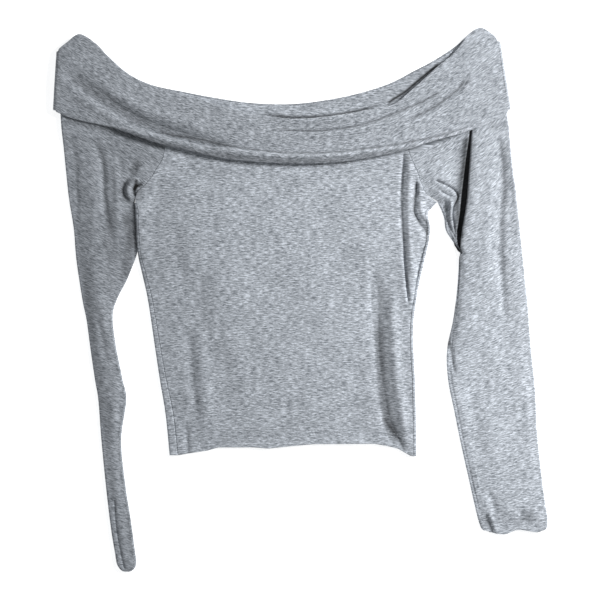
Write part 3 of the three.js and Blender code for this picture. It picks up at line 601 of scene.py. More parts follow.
def wallMesh(name, sheet, thickness):
    # both faces of the cloth, half a thickness either side of its middle, and a strip along each free edge
    points, fullness, shade, relief = (np.concatenate(part) for part in
                                       (sheet.points, sheet.fullness, sheet.shade, sheet.relief))
    quads, quadPlan = np.vstack(sheet.quads), np.vstack(sheet.quadPlan)
    normals = pointNormals(points, quads)
    half = thickness / 2 * fullness
    outer = points + normals * (half + relief)[:, None]
    inner = points - normals * half[:, None]
    count = len(points)
    edges = np.concatenate([quads[:, [k, (k + 1) % 4]] for k in range(4)])
    edgePlan = np.concatenate([quadPlan[:, [k, (k + 1) % 4]] for k in range(4)])
    free = ~np.isin(edges[:, 0] * count + edges[:, 1], edges[:, 1] * count + edges[:, 0])
    rim = np.stack([edges[free, 1], edges[free, 0], edges[free, 0] + count, edges[free, 1] + count], -1)
    faces = np.vstack([quads, quads[:, ::-1] + count, rim])
    plan = np.vstack([quadPlan, quadPlan[:, ::-1], edgePlan[free][:, [1, 0, 0, 1]]])
    mesh = bpy.data.meshes.new(name)
    mesh.vertices.add(2 * count)
    mesh.vertices.foreach_set("co", (np.vstack([outer, inner]) * mm).ravel())
    mesh.loops.add(faces.size)
    mesh.loops.foreach_set("vertex_index", faces.ravel())
    mesh.polygons.add(len(faces))
    mesh.polygons.foreach_set("loop_start", np.arange(0, faces.size, 4))
    mesh.update(calc_edges=True)
    mesh.uv_layers.new(name="clothPlan").data.foreach_set("uv", (plan * mm).ravel())
    # the painted shade and highlights, per point, for the material to multiply into the colour
    mesh.attributes.new("shade", "FLOAT", "POINT").data.foreach_set("value", np.tile(shade, 2))
    mesh.shade_smooth()
    mesh.validate()
    return mesh, outer


def roundedEdge(distance, thickness):
    # half-thickness near a cut or folded edge, as a share of the full one
    near = np.clip(distance / (thickness / 2), 0, 1)
    return np.maximum(cloth["leastEdge"], np.sqrt(1 - (1 - near) ** 2))


def spacedShares(length, steps, near=()):
    # shares from 0 to 1, fine at both ends and round each given distance from the start
    places = [0, length, *cloth["edgeSteps"]] + [length - step for step in cloth["edgeSteps"]]
    reached = cloth["evenFrom"]
    for until, step in steps:
        places += list(np.arange(reached, min(until, length - 2), step * coarser))
        reached = until
    places += [place + step for place in near for step in cloth["rowSteps"]]
    places = np.unique(np.clip(places, 0, length))
    keep = np.concatenate([[True], np.diff(places) > cloth["leastStep"]])
    keep[-1] = True
    return places[keep] / length


def evenShares(length, step, near=()):
    return spacedShares(length, [(length, step)], near)


def bow(line, fromX, toX, shares):
    # how far a line strays from the straight one between its ends
    x = fromX + (toX - fromX) * shares
    ends = valueAt(line, [fromX, toX])
    return valueAt(line, x) - ends[0] - (ends[1] - ends[0]) * shares


def easeAt(y):
    least = cloth["underarmLeast"]
    return least + (1 - least) * smoothStep(cloth["underarm"] - y, 0, cloth["underarmEases"])


def seamCourse(seam, head):
    neckX = seam.get("backNeckX", seam["neckX"]) if head is backHead else seam["neckX"]
    neck = (neckX, valueAt(head, neckX) - cloth["neckInset"])
    return smoothCourse([neck] + seam["points"])


def seamEdge(course, shares, side, underarm):
    # half a gap to one side of the seam, then over to the underarm's own corner
    points = pointsAlong(course, shares)
    aside = 0.002  # of the course, to either side, for its direction
    tangents = pointsAlong(course, np.minimum(shares + aside, 1)) - pointsAlong(course, shares - aside)
    tangents /= np.linalg.norm(tangents, axis=1, keepdims=True)
    edge = points + side * cloth["seamGap"] / 2 * np.column_stack([-tangents[:, 1], tangents[:, 0]])
    parted = np.clip((shares - cloth["underarmStarts"]) / (1 - cloth["underarmStarts"]), 0, 1)[:, None] ** 3
    return edge + parted * (underarm - edge)


def sideFold(upper, lower, outwards, roundness, steps=cloth["sideSteps"]):
    # from the front's edge round to the back's, for one row or for many
    depth = (upper[..., 2] - lower[..., 2])[..., None] / 2
    angles = np.radians(90 - 180 * np.arange(1, steps) / steps)
    x = upper[..., 0][..., None] + outwards * np.asarray(roundness)[..., None] * np.cos(angles)
    y = upper[..., 1][..., None] + 0 * angles
    z = lower[..., 2][..., None] + depth + depth * np.sin(angles)
    return np.stack([x, y, z], -1)


def roundThePiece(points, origin):
    # distance round a row of points, from the one at the origin
    steps = np.hypot(np.diff(points[:, 0]), np.diff(points[:, 2]))
    gone = np.concatenate([[0], np.cumsum(steps)])
    return gone - gone[origin]


def far(points, others):
    return np.linalg.norm(points - others, axis=-1)


def hemRelief(distance):
    # the turned hem is a little thicker, and its two rows of stitches pull it in
    near, past = (body["hemDepth"] + step for step in body["hemStep"])
    turned = body["hemExtra"] * (1 - smoothStep(distance, near, past))
    for row in body["stitchRows"]:
        turned = turned - body["stitchDent"] * np.exp(-(((distance - row) / body["dentWidth"]) ** 2))
    return turned * smoothStep(distance, -1, 1)


stitchLines = []


def stitchAlong(points, distances, ends):
    # a course for each row of stitches, on cloth that is points, at given distances from its edge; as
    # many columns as ends are left out on either side
    for wanted in body["stitchRows"]:
        line = []
        for column, distance in zip(points.swapaxes(0, 1)[ends:-ends], distances.T[ends:-ends]):
            order = distance.argsort()
            line.append([np.interp(wanted, distance[order], axis[order]) for axis in column.T])
        stitchLines.append(np.array(line))


def panelRows(head, leftEdge, rightEdge):
    yokeShares = evenShares(body["yokeLength"], body["down"])[:-1]
    rows = body["stitchRows"] + (body["hemDepth"],)
    lowerShares = 1 - evenShares(body["length"], body["down"], rows)[::-1]
    left, right = leftEdge(lowerShares), rightEdge(lowerShares)
    left = np.vstack([seamEdge(seamCourse(raglanLeft, head), yokeShares, 1, left[0]), left])
    right = np.vstack([seamEdge(seamCourse(raglanRight, head), yokeShares, -1, right[0]), right])
    neck = np.concatenate([1 - yokeShares, 0 * lowerShares])
    low = np.concatenate([0 * yokeShares, lowerShares**3])

    def at(shares):
        spots = left[:, None] + (right - left)[:, None] * shares[None, :, None]
        necks = bow(head, left[0, 0], right[0, 0], shares)
        hems = bow(body["hem"], left[-1, 0], right[-1, 0], shares)
        spots[..., 1] += neck[:, None] * necks + low[:, None] * hems
        return spots
    return at, len(yokeShares)


def foldStart(side, inwards, wraps=None):
    course = smoothCourse(side)

    def edge(shares):
        points = pointsAlong(course, shares)
        ease = easeAt(points[:, 1])
        points[:, 0] += inwards * sideInset * ease
        if wraps:
            points[:, 0] += inwards * ease * (valueAt(wraps, points[:, 1]) + cloth["seamGap"])
        return points
    return edge


def frontPanel():
    at, _ = panelRows(frontHead, foldStart(body["leftSide"], 1, body["wrapLeft"]),
                      foldStart(body["rightSide"], -1, body["wrapRight"]))
    flat = at(spacedShares(body["width"], body["across"]))
    fromHem = far(flat, flat[-1:])
    nearest = np.minimum.reduce([far(flat, flat[:, :1]), far(flat, flat[:1]), fromHem])
    fullness = roundedEdge(nearest, cloth["thickness"])
    points = bodyTop(flat)
    sheet = Cloth()
    # each row's colour takes the body's painted shade and highlights
    for plan, *row in zip(flat, points, fullness, paintedShadingOn(flat, body["shadows"]), hemRelief(fromHem)):
        sheet.follow(sheet.row(*row), plan)
    mesh, outer = wallMesh("frontPanel", sheet, cloth["thickness"])
    stitchAlong(outer.reshape(points.shape), fromHem, ends=6)
    return mesh


def backPanel():
    at, yokeCount = panelRows(backHead, foldStart(body["leftSide"], 1), foldStart(body["rightSide"], -1))
    flat = at(np.linspace(0, 1, int(body["width"] / body["backSpacing"] / coarser)))[:, ::-1]
    sheet = Cloth()
    for i, spots in enumerate(flat):
        back = onBack(spots)
        fullness = roundedEdge(np.minimum(far(spots, flat[0]), far(spots, flat[-1])), cloth["thickness"])
        # the back's colour takes the back's painted shadows
        ids = sheet.row(back, fullness, paintedShadingOn(spots, body["backShadows"]))
        if i < yokeCount:
            sheet.follow(ids, spots * [-1, 1])
            continue
        right, left = bodyTop(spots[:1])[0], bodyTop(spots[-1:])[0]
        rightEase, leftEase = easeAt(right[1]), easeAt(left[1])
        ahead = spots[:1] - [rightEase * valueAt(body["wrapRight"], right[1]), 0]
        wrap = leftEase * valueAt(body["wrapLeft"], left[1])
        behind = spots[-1:] + np.outer(body["wrapShares"], [wrap, 0])
        rightFold = sideFold(right, back[0], 1, rightEase * cloth["sideRound"])
        leftFold = sideFold(left, back[-1], -1, leftEase * cloth["sideRound"])[::-1]
        start = np.vstack([bodyTop(ahead), right[None], rightFold])
        end = np.vstack([leftFold, left[None], bodyTop(behind)])
        # the wrap strips take the front's painted shade and highlights
        startIds, endIds = (sheet.row(part, shade=paintedShadingOn(part, body["shadows"])) for part in (start, end))
        whole = np.vstack([start, back, end])
        plan = np.column_stack([roundThePiece(whole, len(start)) - spots[0, 0], whole[:, 1]])
        sheet.follow(np.concatenate([startIds, ids, endIds]), plan, skipped=len(start))
    return wallMesh("backPanel", sheet, cloth["thickness"])[0]


def gapProfile(tabEnd, tubeStart, left, right, floor, opened, size):
    # down over the tab's edge, across the bottom of the gap and up round the tube's edge
    first, second = (np.clip((end[:, 2] - floor) / 2, pleat["leastEdge"], pleat[key] * size)[:, None]
                     for end, key in ((tabEnd, "tabEdge"), (tubeStart, "tubeEdge")))
    down, up = np.radians(np.linspace(*pleat["tabTurn"])), np.radians(np.linspace(*pleat["tubeTurn"]))
    across = np.linspace(0, 1, pleat["floorColumns"])
    low, left, right = floor[:, None], left[:, None], right[:, None]
    floorX = (left - pleat["undercut"]) * (1 - across) + (right + pleat["undercut"]) * across
    x = np.hstack([left - first + first * np.cos(down), floorX, right + second + second * np.cos(up)])
    z = np.hstack([tabEnd[:, 2:] - first + first * np.sin(down), low + 0 * floorX,
                   tubeStart[:, 2:] - second + second * np.sin(up)])
    # painted shade: the gap's floor and the edges going down into it are darkened in the colour
    shade = np.concatenate([smoothStep(down, *pleat["tabLight"]), 0 * across,
                            1 - smoothStep(up, *pleat["tubeLight"])])
    shade = pleat["gapShade"] + (1 - pleat["gapShade"]) * shade
    share = np.linspace(0, 1, x.shape[1] + 2)[None, 1:-1]  # clear of both ends, which are there already
    flatX = tabEnd[:, :1] + (tubeStart - tabEnd)[:, :1] * share
    flatZ = tabEnd[:, 2:] + (tubeStart - tabEnd)[:, 2:] * share
    opened = opened[:, None]
    return flatX + opened * (x - flatX), flatZ + opened * (z - flatZ), 1 - opened * (1 - shade)


def sleeve(name, shape, seam, side, pleated):
    yokeEdge, outer, inner = (smoothCourse(shape[key]) for key in ("yoke", "outer", "inner"))
    inset = np.array([side * sideInset, 0])
    yokeShares = spacedShares(yokeLength, shape["yokeRows"])[:-1]
    stitched = tuple(sleeveLength - row for row in body["stitchRows"] + (body["hemDepth"],))
    lowerShares = spacedShares(sleeveLength, shape["lowerRows"], stitched)
    lowerStarts = pointsAlong(inner, lowerShares)
    roundness = easeAt(lowerStarts[:, 1]) * valueAt(shape["innerRound"], lowerStarts[:, 1])
    lowerStarts = lowerStarts + inset * roundness[:, None]
    fronts, backs = (np.vstack([seamEdge(seamCourse(seam, head), yokeShares, side, lowerStarts[0]),
                                lowerStarts]) for head in (frontHead, backHead))
    outers = np.vstack([pointsAlong(yokeEdge, yokeShares), pointsAlong(outer, lowerShares)]) - inset
    neck = np.concatenate([1 - yokeShares, 0 * lowerShares])
    low = np.concatenate([0 * yokeShares, lowerShares])
    narrowing, cornerLength = shape["corner"]
    fromCuff = (1 - low) * sleeveLength
    into = np.clip(1 - fromCuff / cornerLength, 0, 1)
    rounded = side * narrowing * (1 - np.sqrt(1 - into**2))
    fronts[:, 0] += rounded
    backs[:, 0] += rounded
    outers[:, 0] -= rounded
    cuffEdge = smoothCourse(shape["cuffEdge"])

    def at(starts, head, shares):
        spots = starts[:, None] + (outers - starts)[:, None] * shares[..., None]
        spots[..., 1] += neck[:, None] * bow(head, starts[0, 0], outers[0, 0], shares)
        spots[..., 1] -= low[:, None] ** body["cuffStraightens"] * valueAt(cuffEdge, shares)
        return spots

    def topOf(spots, rise):
        x, y = spots[..., 0], spots[..., 1]
        height = frontLevel(x, y) + foldHeight(shape["folds"], x, y) + rise
        if shape["depth"]:
            deeper = valueAt(shape["depth"], y) - touching - cloth["layerAir"]
            height += np.where(low[:, None] > 0, deeper, 0)
        fromInner, fromOuter = abs(x - fronts[:, :1]), abs(x - outers[:, :1])
        inside = 1 - abs(1 - 2 * fromInner / (fromInner + fromOuter)) ** 3
        height += valueAt(shape["sleeveRise"], y) * inside
        innerWidth, outerWidth = shape["rollWidths"]
        height -= valueAt(shape["innerRoll"], y) * np.exp(-((fromInner / innerWidth) ** 2))
        height -= valueAt(shape["outerRoll"], y) * np.exp(-((fromOuter / outerWidth) ** 2))
        return np.concatenate([spots, np.maximum(backLevel(x, y) + touching, height)[..., None]], -1)

    count = len(outers)
    if not pleated:
        front = topOf(at(fronts, frontHead, np.tile(evenShares(*shape["across"]), (count, 1))), 0)
        shade = np.ones(front.shape[:2])
    else:
        shareOf = lambda x: (x - fronts[:, 0]) / (outers - fronts)[:, 0]
        middle = at(fronts, frontHead, np.full((count, 1), 0.5))[:, 0]
        for _ in range(pleat["searches"]):
            share = shareOf(valueAt(pleat["gapMiddle"], middle[:, 1]))
            middle = at(fronts, frontHead, share[:, None])[:, 0]
        half, size, opened = (valueAt(pleat[key], middle[:, 1])
                              for key in ("gapHalf", "edgeSize", "gapOpen"))
        tabEdge, tubeEdge = pleat["tabEdge"] * size, pleat["tubeEdge"] * size
        left = np.maximum(middle[:, 0] - half, fronts[:, 0] + tabEdge + pleat["leastTab"])
        right = np.maximum(middle[:, 0] + half, left + pleat["leastGap"])
        tabShares = shareOf(left - tabEdge)[:, None] * evenShares(*pleat["tabAcross"])
        tubeFrom = shareOf(right + tubeEdge)[:, None]
        tubeShares = tubeFrom + (1 - tubeFrom) * evenShares(*pleat["tubeAcross"])
        tab, tube = at(fronts, frontHead, tabShares), at(fronts, frontHead, tubeShares)
        across = tabShares / tabShares[:, -1:]
        lap = lambda part: tubeRise(part[..., 0], part[..., 1]) + valueAt(pleat["tubeRise"], part[..., 1])
        bare = valueAt(pleat["tabRise"], tab[..., 1]) * smoothStep(across, 0, pleat["tabEases"])
        under = lap(tab) * (1 - opened[:, None]) * smoothStep(across, 0, pleat["lapEases"])
        tab = topOf(tab, bare + under)
        tube = topOf(tube, lap(tube) * smoothStep(1 - tubeShares, 0, pleat["outerEases"]))
        floor = backLevel(middle[:, 0], middle[:, 1]) + touching
        x, z, gapShade = gapProfile(tab[:, -1], tube[:, 0], left, right, floor, opened, size)
        y = at(fronts, frontHead, shareOf(x.T).T)[..., 1]
        front = np.concatenate([tab, np.stack([x, y, z], -1), tube], 1)
        shade = np.hstack([np.ones(tab.shape[:2]), gapShade, np.ones(tube.shape[:2])])
        # painted shade beside both edges of the gap, then the sleeve's painted shade table and its painted
        # shade and highlights
        for edge, darker in ((left - tabEdge, pleat["tabShade"]), (right + tubeEdge, pleat["tubeShade"])):
            beside = np.exp(-(((front[..., 0] - edge[:, None]) / pleat["shadeReach"]) ** 2))
            shade = shade * (1 - darker * opened[:, None] * beside)
    base = lambda spots: valueAt(shape["shade"], spots[..., 1])
    shade = shade * base(front) * paintedShadingOn(front, shape["shadows"])

    back = onBack(at(backs, backHead, np.tile(np.linspace(1, 0, shape["backColumns"]), (count, 1))))
    edge = sideFold(front[:, -1], back[:, 0], side, cloth["sideRound"])
    relief = hemRelief(fromCuff)
    stitchAlong(front + [0, 0, cloth["thickness"] / 2] + relief[:, None, None] * [0, 0, 1],
                np.tile(fromCuff[:, None], front.shape[1]), ends=5)
    strip = np.concatenate([front, edge, back], 1)
    onFront = np.concatenate([np.ones(front.shape[1]), np.linspace(1, 0, edge.shape[1]),
                              np.zeros(back.shape[1])])
    roundness = cloth["sideRound"] * np.concatenate([0 * yokeShares, roundness])
    closing = sideFold(front[:, 0], back[:, -1], -side, roundness)[:, ::-1]
    # painted shade on the side fold and the back, with the back's painted shadows
    shades = np.hstack([shade, base(edge), base(back) * paintedShadingOn(back, body["backShadows"])])
    nearest = np.minimum(fromCuff[:, None], far(strip, strip[:1]))
    fromSeams = np.minimum(far(strip, strip[:, :1]), far(strip, strip[:, -1:]))
    sheet = Cloth(side < 0)
    for i, whole in enumerate(strip):
        inYoke = i < len(yokeShares)  # the sleeve is open there, with the body between its two edges
        fullness = roundedEdge(np.minimum(nearest[i], fromSeams[i]) if inYoke else nearest[i],
                               cloth["thickness"])
        ids = sheet.row(whole, fullness, shades[i], relief[i] * onFront)
        if not inYoke:
            steps = closing.shape[1]
            closingIds = sheet.row(closing[i], np.full(steps, fullness[0]), np.full(steps, shades[i, 0]),
                                   relief[i] * np.linspace(0, 1, steps))
            ids = np.concatenate([ids, closingIds, ids[:1]])
            whole = np.vstack([whole, closing[i], whole[:1]])
        around = roundThePiece(whole, front.shape[1])
        y = whole[:, 1]
        sheet.follow(ids, np.column_stack([around, y + valueAt(shape["streakSlope"], y) * abs(around)]))
    return wallMesh(name, sheet, cloth["thickness"])[0]


def collarBand():
    count = int(collar["length"] / (collar["spacing"][0] * coarser))
    spine = np.linspace(0, len(sections) - 1, count)
    picked = np.column_stack([np.interp(spine, np.arange(len(sections)), axis) for axis in sections.T])
    half = cloth["collarThickness"] / 2
    ends = np.interp(np.arange(count) / (count - 1), collar["endShares"], [1, 0, 0, -1])
    shift = ends * (half + collar["endRound"])
    sheet = Cloth()
    for share in evenShares(collar["depth"], collar["spacing"][1]):
        upper = picked[:, [2, 3]] * (1 - share) + picked[:, [0, 1]] * share
        lower = picked[:, [2, 5]] * (1 - share) + picked[:, [0, 4]] * share
        upper[:, 0] += shift
        lower[:, 0] += shift
        x, y = upper.T
        bare = collar["edge"] + (collar["middle"] - collar["edge"]) * np.sin(np.pi * share)
        relief = np.maximum(collar["least"], bare + foldHeight(collar["folds"], x, y))
        level = frontLevel(x, y) + tubeRise(x, y) + cloth["thickness"] / 2 + cloth["seamGap"] + half
        front = np.column_stack([upper, level + relief])
        back = np.column_stack([lower, np.full(len(lower), half)])[::-1]
        rightEnd = sideFold(front[-1], back[0], 1, collar["endRound"], collar["endSteps"])
        leftEnd = sideFold(front[0], back[-1], -1, collar["endRound"], collar["endSteps"])[::-1]
        ring = np.vstack([front, rightEnd, back, leftEnd])
        # painted shade and highlights: points on the back layer take the back's painted shadows, the rest
        # the band's own, scaled by its painted shade table
        onTable = ring[:, 2] < half + collar["backMargin"]
        light = np.where(onTable, paintedShadingOn(ring, body["backShadows"]), paintedShadingOn(ring, collar["shadows"]))
        fullness = roundedEdge(collar["depth"] * min(share, 1 - share), cloth["collarThickness"])
        ids = sheet.row(ring, np.full(len(ring), fullness), light * valueAt(collar["shade"], ring[:, 0]))
        x, y = np.vstack([ring, ring[:1]])[:, :2].T
        plan = np.column_stack([collar["streakStretch"] * x, y - valueAt(collar["streakLine"], x)])
        sheet.follow(np.concatenate([ids, ids[:1]]), plan)
    return wallMesh("collar", sheet, cloth["collarThickness"])[0]


jersey = {
    "pale": (0.69, 0.735, 0.80),
    "middle": (0.385, 0.412, 0.45),
    "dark": (0.17, 0.188, 0.21),
    "streakSize": (0.008, 0.0014),  # metres along the streak and across it
    "fleckSize": (0.003, 0.00105),
    "fleckShare": 0.3,
    "broadSize": (0.03, 0.018),
    "broadShare": 0.16,
    "wanderSize": (0.007, 0.004),  # streaks wander a little up and down
    "wanderReach": 0.0035,
    "contrast": 0.17,  # half the spread of the noise from dark to pale
    "knitSize": (0.0014, 0.0009),
    "knitStrength": 0.3,
    "knitDepth": 0.0003,
    "roughness": 0.92,
    "shine": 0.25,
    "sheen": 0.15,
    "sheenRoughness": 0.6,
}


def fillInputs(node, values):
    for key, value in values.items():
        node.inputs[key].default_value = value


def addNode(tree, kind, x, y, inputs=None, **settings):
    node = tree.nodes.new(kind)
    node.location = (x, y)
    for key, value in settings.items():
        setattr(node, key, value)
    fillInputs(node, inputs or {})
    return node


def joinAll(tree, *links):
    for source, target in links:
        tree.links.new(source, target)


def newMaterial(name):
    material = bpy.data.materials.new(name)
    material.use_nodes = True
    return material, material.node_tree, material.node_tree.nodes["Principled BSDF"]


def putInScene(name, data):
    thing = bpy.data.objects.new(name, data)
    bpy.context.scene.collection.objects.link(thing)
    return thing


def noiseOn(tree, source, x, y, size, detail, roughness=0.5):
    # noise of the given size along and across the cloth
    spread = addNode(tree, "ShaderNodeMapping", x, y, {"Scale": (1 / size[0], 1 / size[1], 1)})
    noise = addNode(tree, "ShaderNodeTexNoise", x + 200, y,
                    {"Scale": 1, "Detail": detail, "Roughness": roughness})
    joinAll(tree, (source, spread.inputs["Vector"]), (spread.outputs["Vector"], noise.inputs["Vector"]))
    return noise.outputs


def heatherJersey(name, look):
    material, tree, shader = newMaterial(name)
    plan = addNode(tree, "ShaderNodeUVMap", -1700, 0, uv_map="clothPlan").outputs["UV"]
    wander = noiseOn(tree, plan, -1500, -300, look["wanderSize"], 1)
    offset = addNode(tree, "ShaderNodeVectorMath", -1100, -300, {"Scale": look["wanderReach"]},
                     operation="SCALE")
    shifted = addNode(tree, "ShaderNodeVectorMath", -900, -100, operation="ADD")
    place = shifted.outputs["Vector"]
    streaks = noiseOn(tree, place, -700, 200, look["streakSize"], 2.5, 0.6)
    flecks = noiseOn(tree, place, -700, -100, look["fleckSize"], 1)
    broad = noiseOn(tree, plan, -700, -400, look["broadSize"], 2)
    mixed = addNode(tree, "ShaderNodeMath", -250, 100, {1: look["fleckShare"]}, operation="MULTIPLY_ADD")
    total = addNode(tree, "ShaderNodeMath", -80, 100, {1: look["broadShare"]}, operation="MULTIPLY_ADD")
    colours = addNode(tree, "ShaderNodeValToRGB", 100, 100)
    stops = colours.color_ramp.elements
    middle = 0.5 * (1 + look["fleckShare"] + look["broadShare"])
    stops[0].position, stops[0].color = middle - look["contrast"], (*look["dark"], 1)
    stops[1].position, stops[1].color = middle + look["contrast"], (*look["pale"], 1)
    stops.new(middle).color = (*look["middle"], 1)
    # painted shade and highlights: the heather colour is scaled by each point's painted shade
    shade = addNode(tree, "ShaderNodeAttribute", 100, -200, attribute_name="shade")
    shaded = addNode(tree, "ShaderNodeVectorMath", 400, 0, operation="SCALE")
    knit = noiseOn(tree, plan, -300, -700, look["knitSize"], 1)
    bump = addNode(tree, "ShaderNodeBump", 100, -600,
                   {"Strength": look["knitStrength"], "Distance": look["knitDepth"]})
    joinAll(tree, (wander["Color"], offset.inputs[0]), (plan, shifted.inputs[0]),
            (offset.outputs["Vector"], shifted.inputs[1]), (flecks["Fac"], mixed.inputs[0]),
            (streaks["Fac"], mixed.inputs[2]), (broad["Fac"], total.inputs[0]),
            (mixed.outputs["Value"], total.inputs[2]), (total.outputs["Value"], colours.inputs["Fac"]),
            (colours.outputs["Color"], shaded.inputs[0]), (shade.outputs["Fac"], shaded.inputs["Scale"]),
            (shaded.outputs["Vector"], shader.inputs["Base Color"]), (knit["Fac"], bump.inputs["Height"]),
            (bump.outputs["Normal"], shader.inputs["Normal"]))
    fillInputs(shader, {"Roughness": look["roughness"], "Specular IOR Level": look["shine"],
                        "Sheen Weight": look["sheen"], "Sheen Roughness": look["sheenRoughness"]})
    return material


def addPiece(name, mesh, node, material):
    piece = putInScene(name, mesh)
    mesh.materials.append(material)
    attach(piece, "root")
    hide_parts(node)
    print("made", name, len(mesh.polygons), "faces")


bodyJersey = heatherJersey("bodyJersey", jersey)

addPiece("frontPanel", frontPanel(), "front_panel", bodyJersey)
addPiece("backPanel", backPanel(), "back_panel", bodyJersey)
addPiece("leftSleeve", sleeve("leftSleeve", leftSleeve, raglanLeft, -1, False), "sleeve_left",
         bodyJersey)
addPiece("rightSleeve", sleeve("rightSleeve", rightSleeve, raglanRight, 1, True), "sleeve_right",
         bodyJersey)
addPiece("turnedCollar", collarBand(), "collar", bodyJersey)

stitching = {
    "every": 4,  # millimetres from stitch to stitch
    "length": 3.1,
    "width": 0.7,
    "lengths": (0.85, 1.1),  # least and most, as shares of that length
    "seed": 7,
    "sides": 6,
    "rings": 5,
    "colour": (0.47, 0.5, 0.54),
    "plyTones": (0.72, 1.12),
    "plyScale": 62.5,  # of the wave that lays the thread's plies
    "plyDistortion": 1.5,
    "roughness": 0.6,
}


def threadMaterial():
    material, tree, shader = newMaterial("hemThread")
    places = addNode(tree, "ShaderNodeTexCoord", -900, 0)
    plies = addNode(tree, "ShaderNodeTexWave", -600, 0,
                    {"Scale": stitching["plyScale"], "Distortion": stitching["plyDistortion"]},
                    bands_direction="DIAGONAL")
    colours = addNode(tree, "ShaderNodeValToRGB", -300, 0)
    for stop, tone in zip(colours.color_ramp.elements, stitching["plyTones"]):
        stop.color = (*(tone * channel for channel in stitching["colour"]), 1)
    joinAll(tree, (places.outputs["Object"], plies.inputs["Vector"]),
            (plies.outputs["Fac"], colours.inputs["Fac"]),
            (colours.outputs["Color"], shader.inputs["Base Color"]))
    fillInputs(shader, {"Roughness": stitching["roughness"]})
    return material


def stitchTree(material):
    tree = bpy.data.node_groups.new("coverStitches", "GeometryNodeTree")
    tree.interface.new_socket("Courses", in_out="INPUT", socket_type="NodeSocketGeometry")
    identifiers = {}
    for name in ("Every", "Length", "Width", "Seed"):
        kind = "NodeSocketInt" if name == "Seed" else "NodeSocketFloat"
        identifiers[name] = tree.interface.new_socket(name, in_out="INPUT", socket_type=kind).identifier
    tree.interface.new_socket("Stitches", in_out="OUTPUT", socket_type="NodeSocketGeometry")
    given = addNode(tree, "NodeGroupInput", -900, 0).outputs
    curve = addNode(tree, "GeometryNodeMeshToCurve", -700, 200)
    evenly = addNode(tree, "GeometryNodeResampleCurve", -500, 200, mode="LENGTH")
    along = addNode(tree, "GeometryNodeInputTangent", -700, -100)
    turned = addNode(tree, "FunctionNodeAlignRotationToVector", -500, -100, axis="X")
    varied = addNode(tree, "FunctionNodeRandomValue", -700, -300, data_type="FLOAT")
    fillInputs(varied, {2: stitching["lengths"][0], 3: stitching["lengths"][1]})
    longer = addNode(tree, "ShaderNodeMath", -500, -300, operation="MULTIPLY")
    size = addNode(tree, "ShaderNodeCombineXYZ", -300, -300)
    bead = addNode(tree, "GeometryNodeMeshUVSphere", -500, 400,
                   {"Segments": stitching["sides"], "Rings": stitching["rings"], "Radius": 0.5})
    placed = addNode(tree, "GeometryNodeInstanceOnPoints", -100, 200)
    real = addNode(tree, "GeometryNodeRealizeInstances", 100, 200)
    dressed = addNode(tree, "GeometryNodeSetMaterial", 300, 200, {"Material": material})
    result = addNode(tree, "NodeGroupOutput", 500, 200)
    joinAll(tree, (given["Courses"], curve.inputs["Mesh"]),
            (curve.outputs["Curve"], evenly.inputs["Curve"]),
            (given["Every"], evenly.inputs["Length"]), (along.outputs["Tangent"], turned.inputs["Vector"]),
            (given["Seed"], varied.inputs["Seed"]), (varied.outputs[1], longer.inputs[0]),
            (given["Length"], longer.inputs[1]), (longer.outputs["Value"], size.inputs["X"]),
            (given["Width"], size.inputs["Y"]), (given["Width"], size.inputs["Z"]),
            (evenly.outputs["Curve"], placed.inputs["Points"]),
            (bead.outputs["Mesh"], placed.inputs["Instance"]),
            (turned.outputs["Rotation"], placed.inputs["Rotation"]),
            (size.outputs["Vector"], placed.inputs["Scale"]),
            (placed.outputs["Instances"], real.inputs["Geometry"]),
            (real.outputs["Geometry"], dressed.inputs["Geometry"]),
            (dressed.outputs["Geometry"], result.inputs["Stitches"]))
    return tree, identifiers


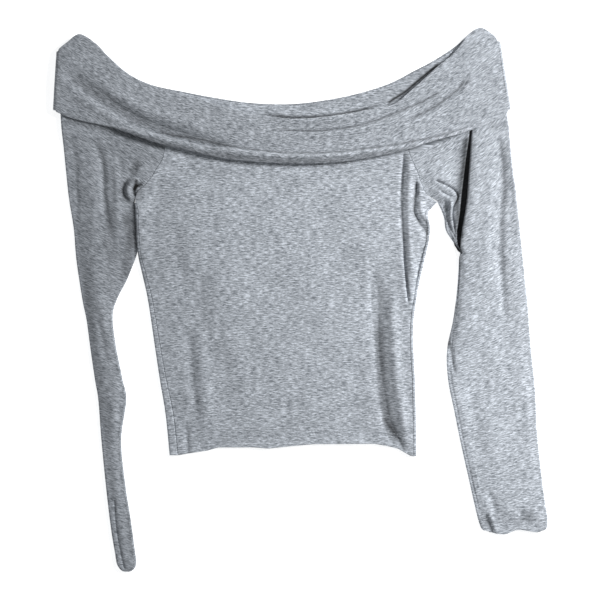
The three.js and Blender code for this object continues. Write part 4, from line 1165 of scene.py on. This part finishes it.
def hemStitches():
    starts = np.cumsum([0] + [len(line) for line in stitchLines])
    edges = np.concatenate([np.column_stack([np.arange(a, b - 1), np.arange(a + 1, b)])
                            for a, b in zip(starts, starts[1:])])
    courses = bpy.data.meshes.new("stitchCourses")
    courses.from_pydata((np.concatenate(stitchLines) * mm).tolist(), edges.tolist(), [])
    carrier = putInScene("stitchCourses", courses)
    modifier = carrier.modifiers.new("coverStitches", "NODES")
    modifier.node_group, identifiers = stitchTree(threadMaterial())
    for name, identifier in identifiers.items():
        value = stitching[name.lower()]
        modifier[identifier] = value if name == "Seed" else value * mm
    evaluated = carrier.evaluated_get(bpy.context.evaluated_depsgraph_get())
    mesh = bpy.data.meshes.new_from_object(evaluated)
    bpy.data.objects.remove(carrier)
    mesh.name = "hemStitches"
    mesh.shade_smooth()
    stitches = putInScene("hemStitches", mesh)
    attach(stitches, "root")
    print("made hemStitches", len(mesh.polygons), "faces")


hemStitches()

room = {
    "tableReach": 12,  # metres each way
    "tableHeight": -0.0002,  # a hair below the cloth, which it hides from below
    "tableColour": (0.92, 0.92, 0.92, 1),
    "tableRoughness": 0.9,
    "tableGlow": 0.7,
    "lampSize": 0.6,
    "lampPower": 43,
    "lampPlace": (1.4, 0.68, 1.06),
    "wallColour": (0.96, 0.98, 1, 1),
    "wallLight": 0.31,
    "viewWidth": 0.792,  # metres across the picture
    "cameraHeight": 2.4,
}


def studio():
    # white table, one broad soft lamp from the upper right and pale walls all round
    table = bpy.data.meshes.new("floor")
    reach = room["tableReach"]
    table.from_pydata([(x * reach, y * reach, room["tableHeight"])
                       for x, y in ((-1, -1), (1, -1), (1, 1), (-1, 1))], [], [(0, 1, 2, 3)])
    paper, _, shader = newMaterial("whitePaper")
    fillInputs(shader, {"Base Color": room["tableColour"], "Roughness": room["tableRoughness"],
                        "Emission Color": (1, 1, 1, 1), "Emission Strength": room["tableGlow"]})
    table.materials.append(paper)
    putInScene("floor", table)

    lampData = bpy.data.lights.new("windowLamp", "AREA")
    lampData.shape = "SQUARE"
    lampData.size = room["lampSize"]
    lampData.energy = room["lampPower"]
    lamp = putInScene("windowLamp", lampData)
    lamp.location = room["lampPlace"]
    lamp.rotation_euler = (-lamp.location).to_track_quat("-Z", "Y").to_euler()

    world = bpy.data.worlds.new("paleRoom")
    world.use_nodes = True
    fillInputs(world.node_tree.nodes["Background"],
               {"Color": room["wallColour"], "Strength": room["wallLight"]})
    bpy.context.scene.world = world

    cameraData = bpy.data.cameras.new("overhead")
    cameraData.lens = cameraData.sensor_width * room["cameraHeight"] / room["viewWidth"]
    camera = putInScene("overhead", cameraData)
    camera.location = (0, 0, room["cameraHeight"])
    bpy.context.scene.camera = camera
    bpy.context.scene.view_settings.view_transform = "Standard"
    print("made the studio")


studio()
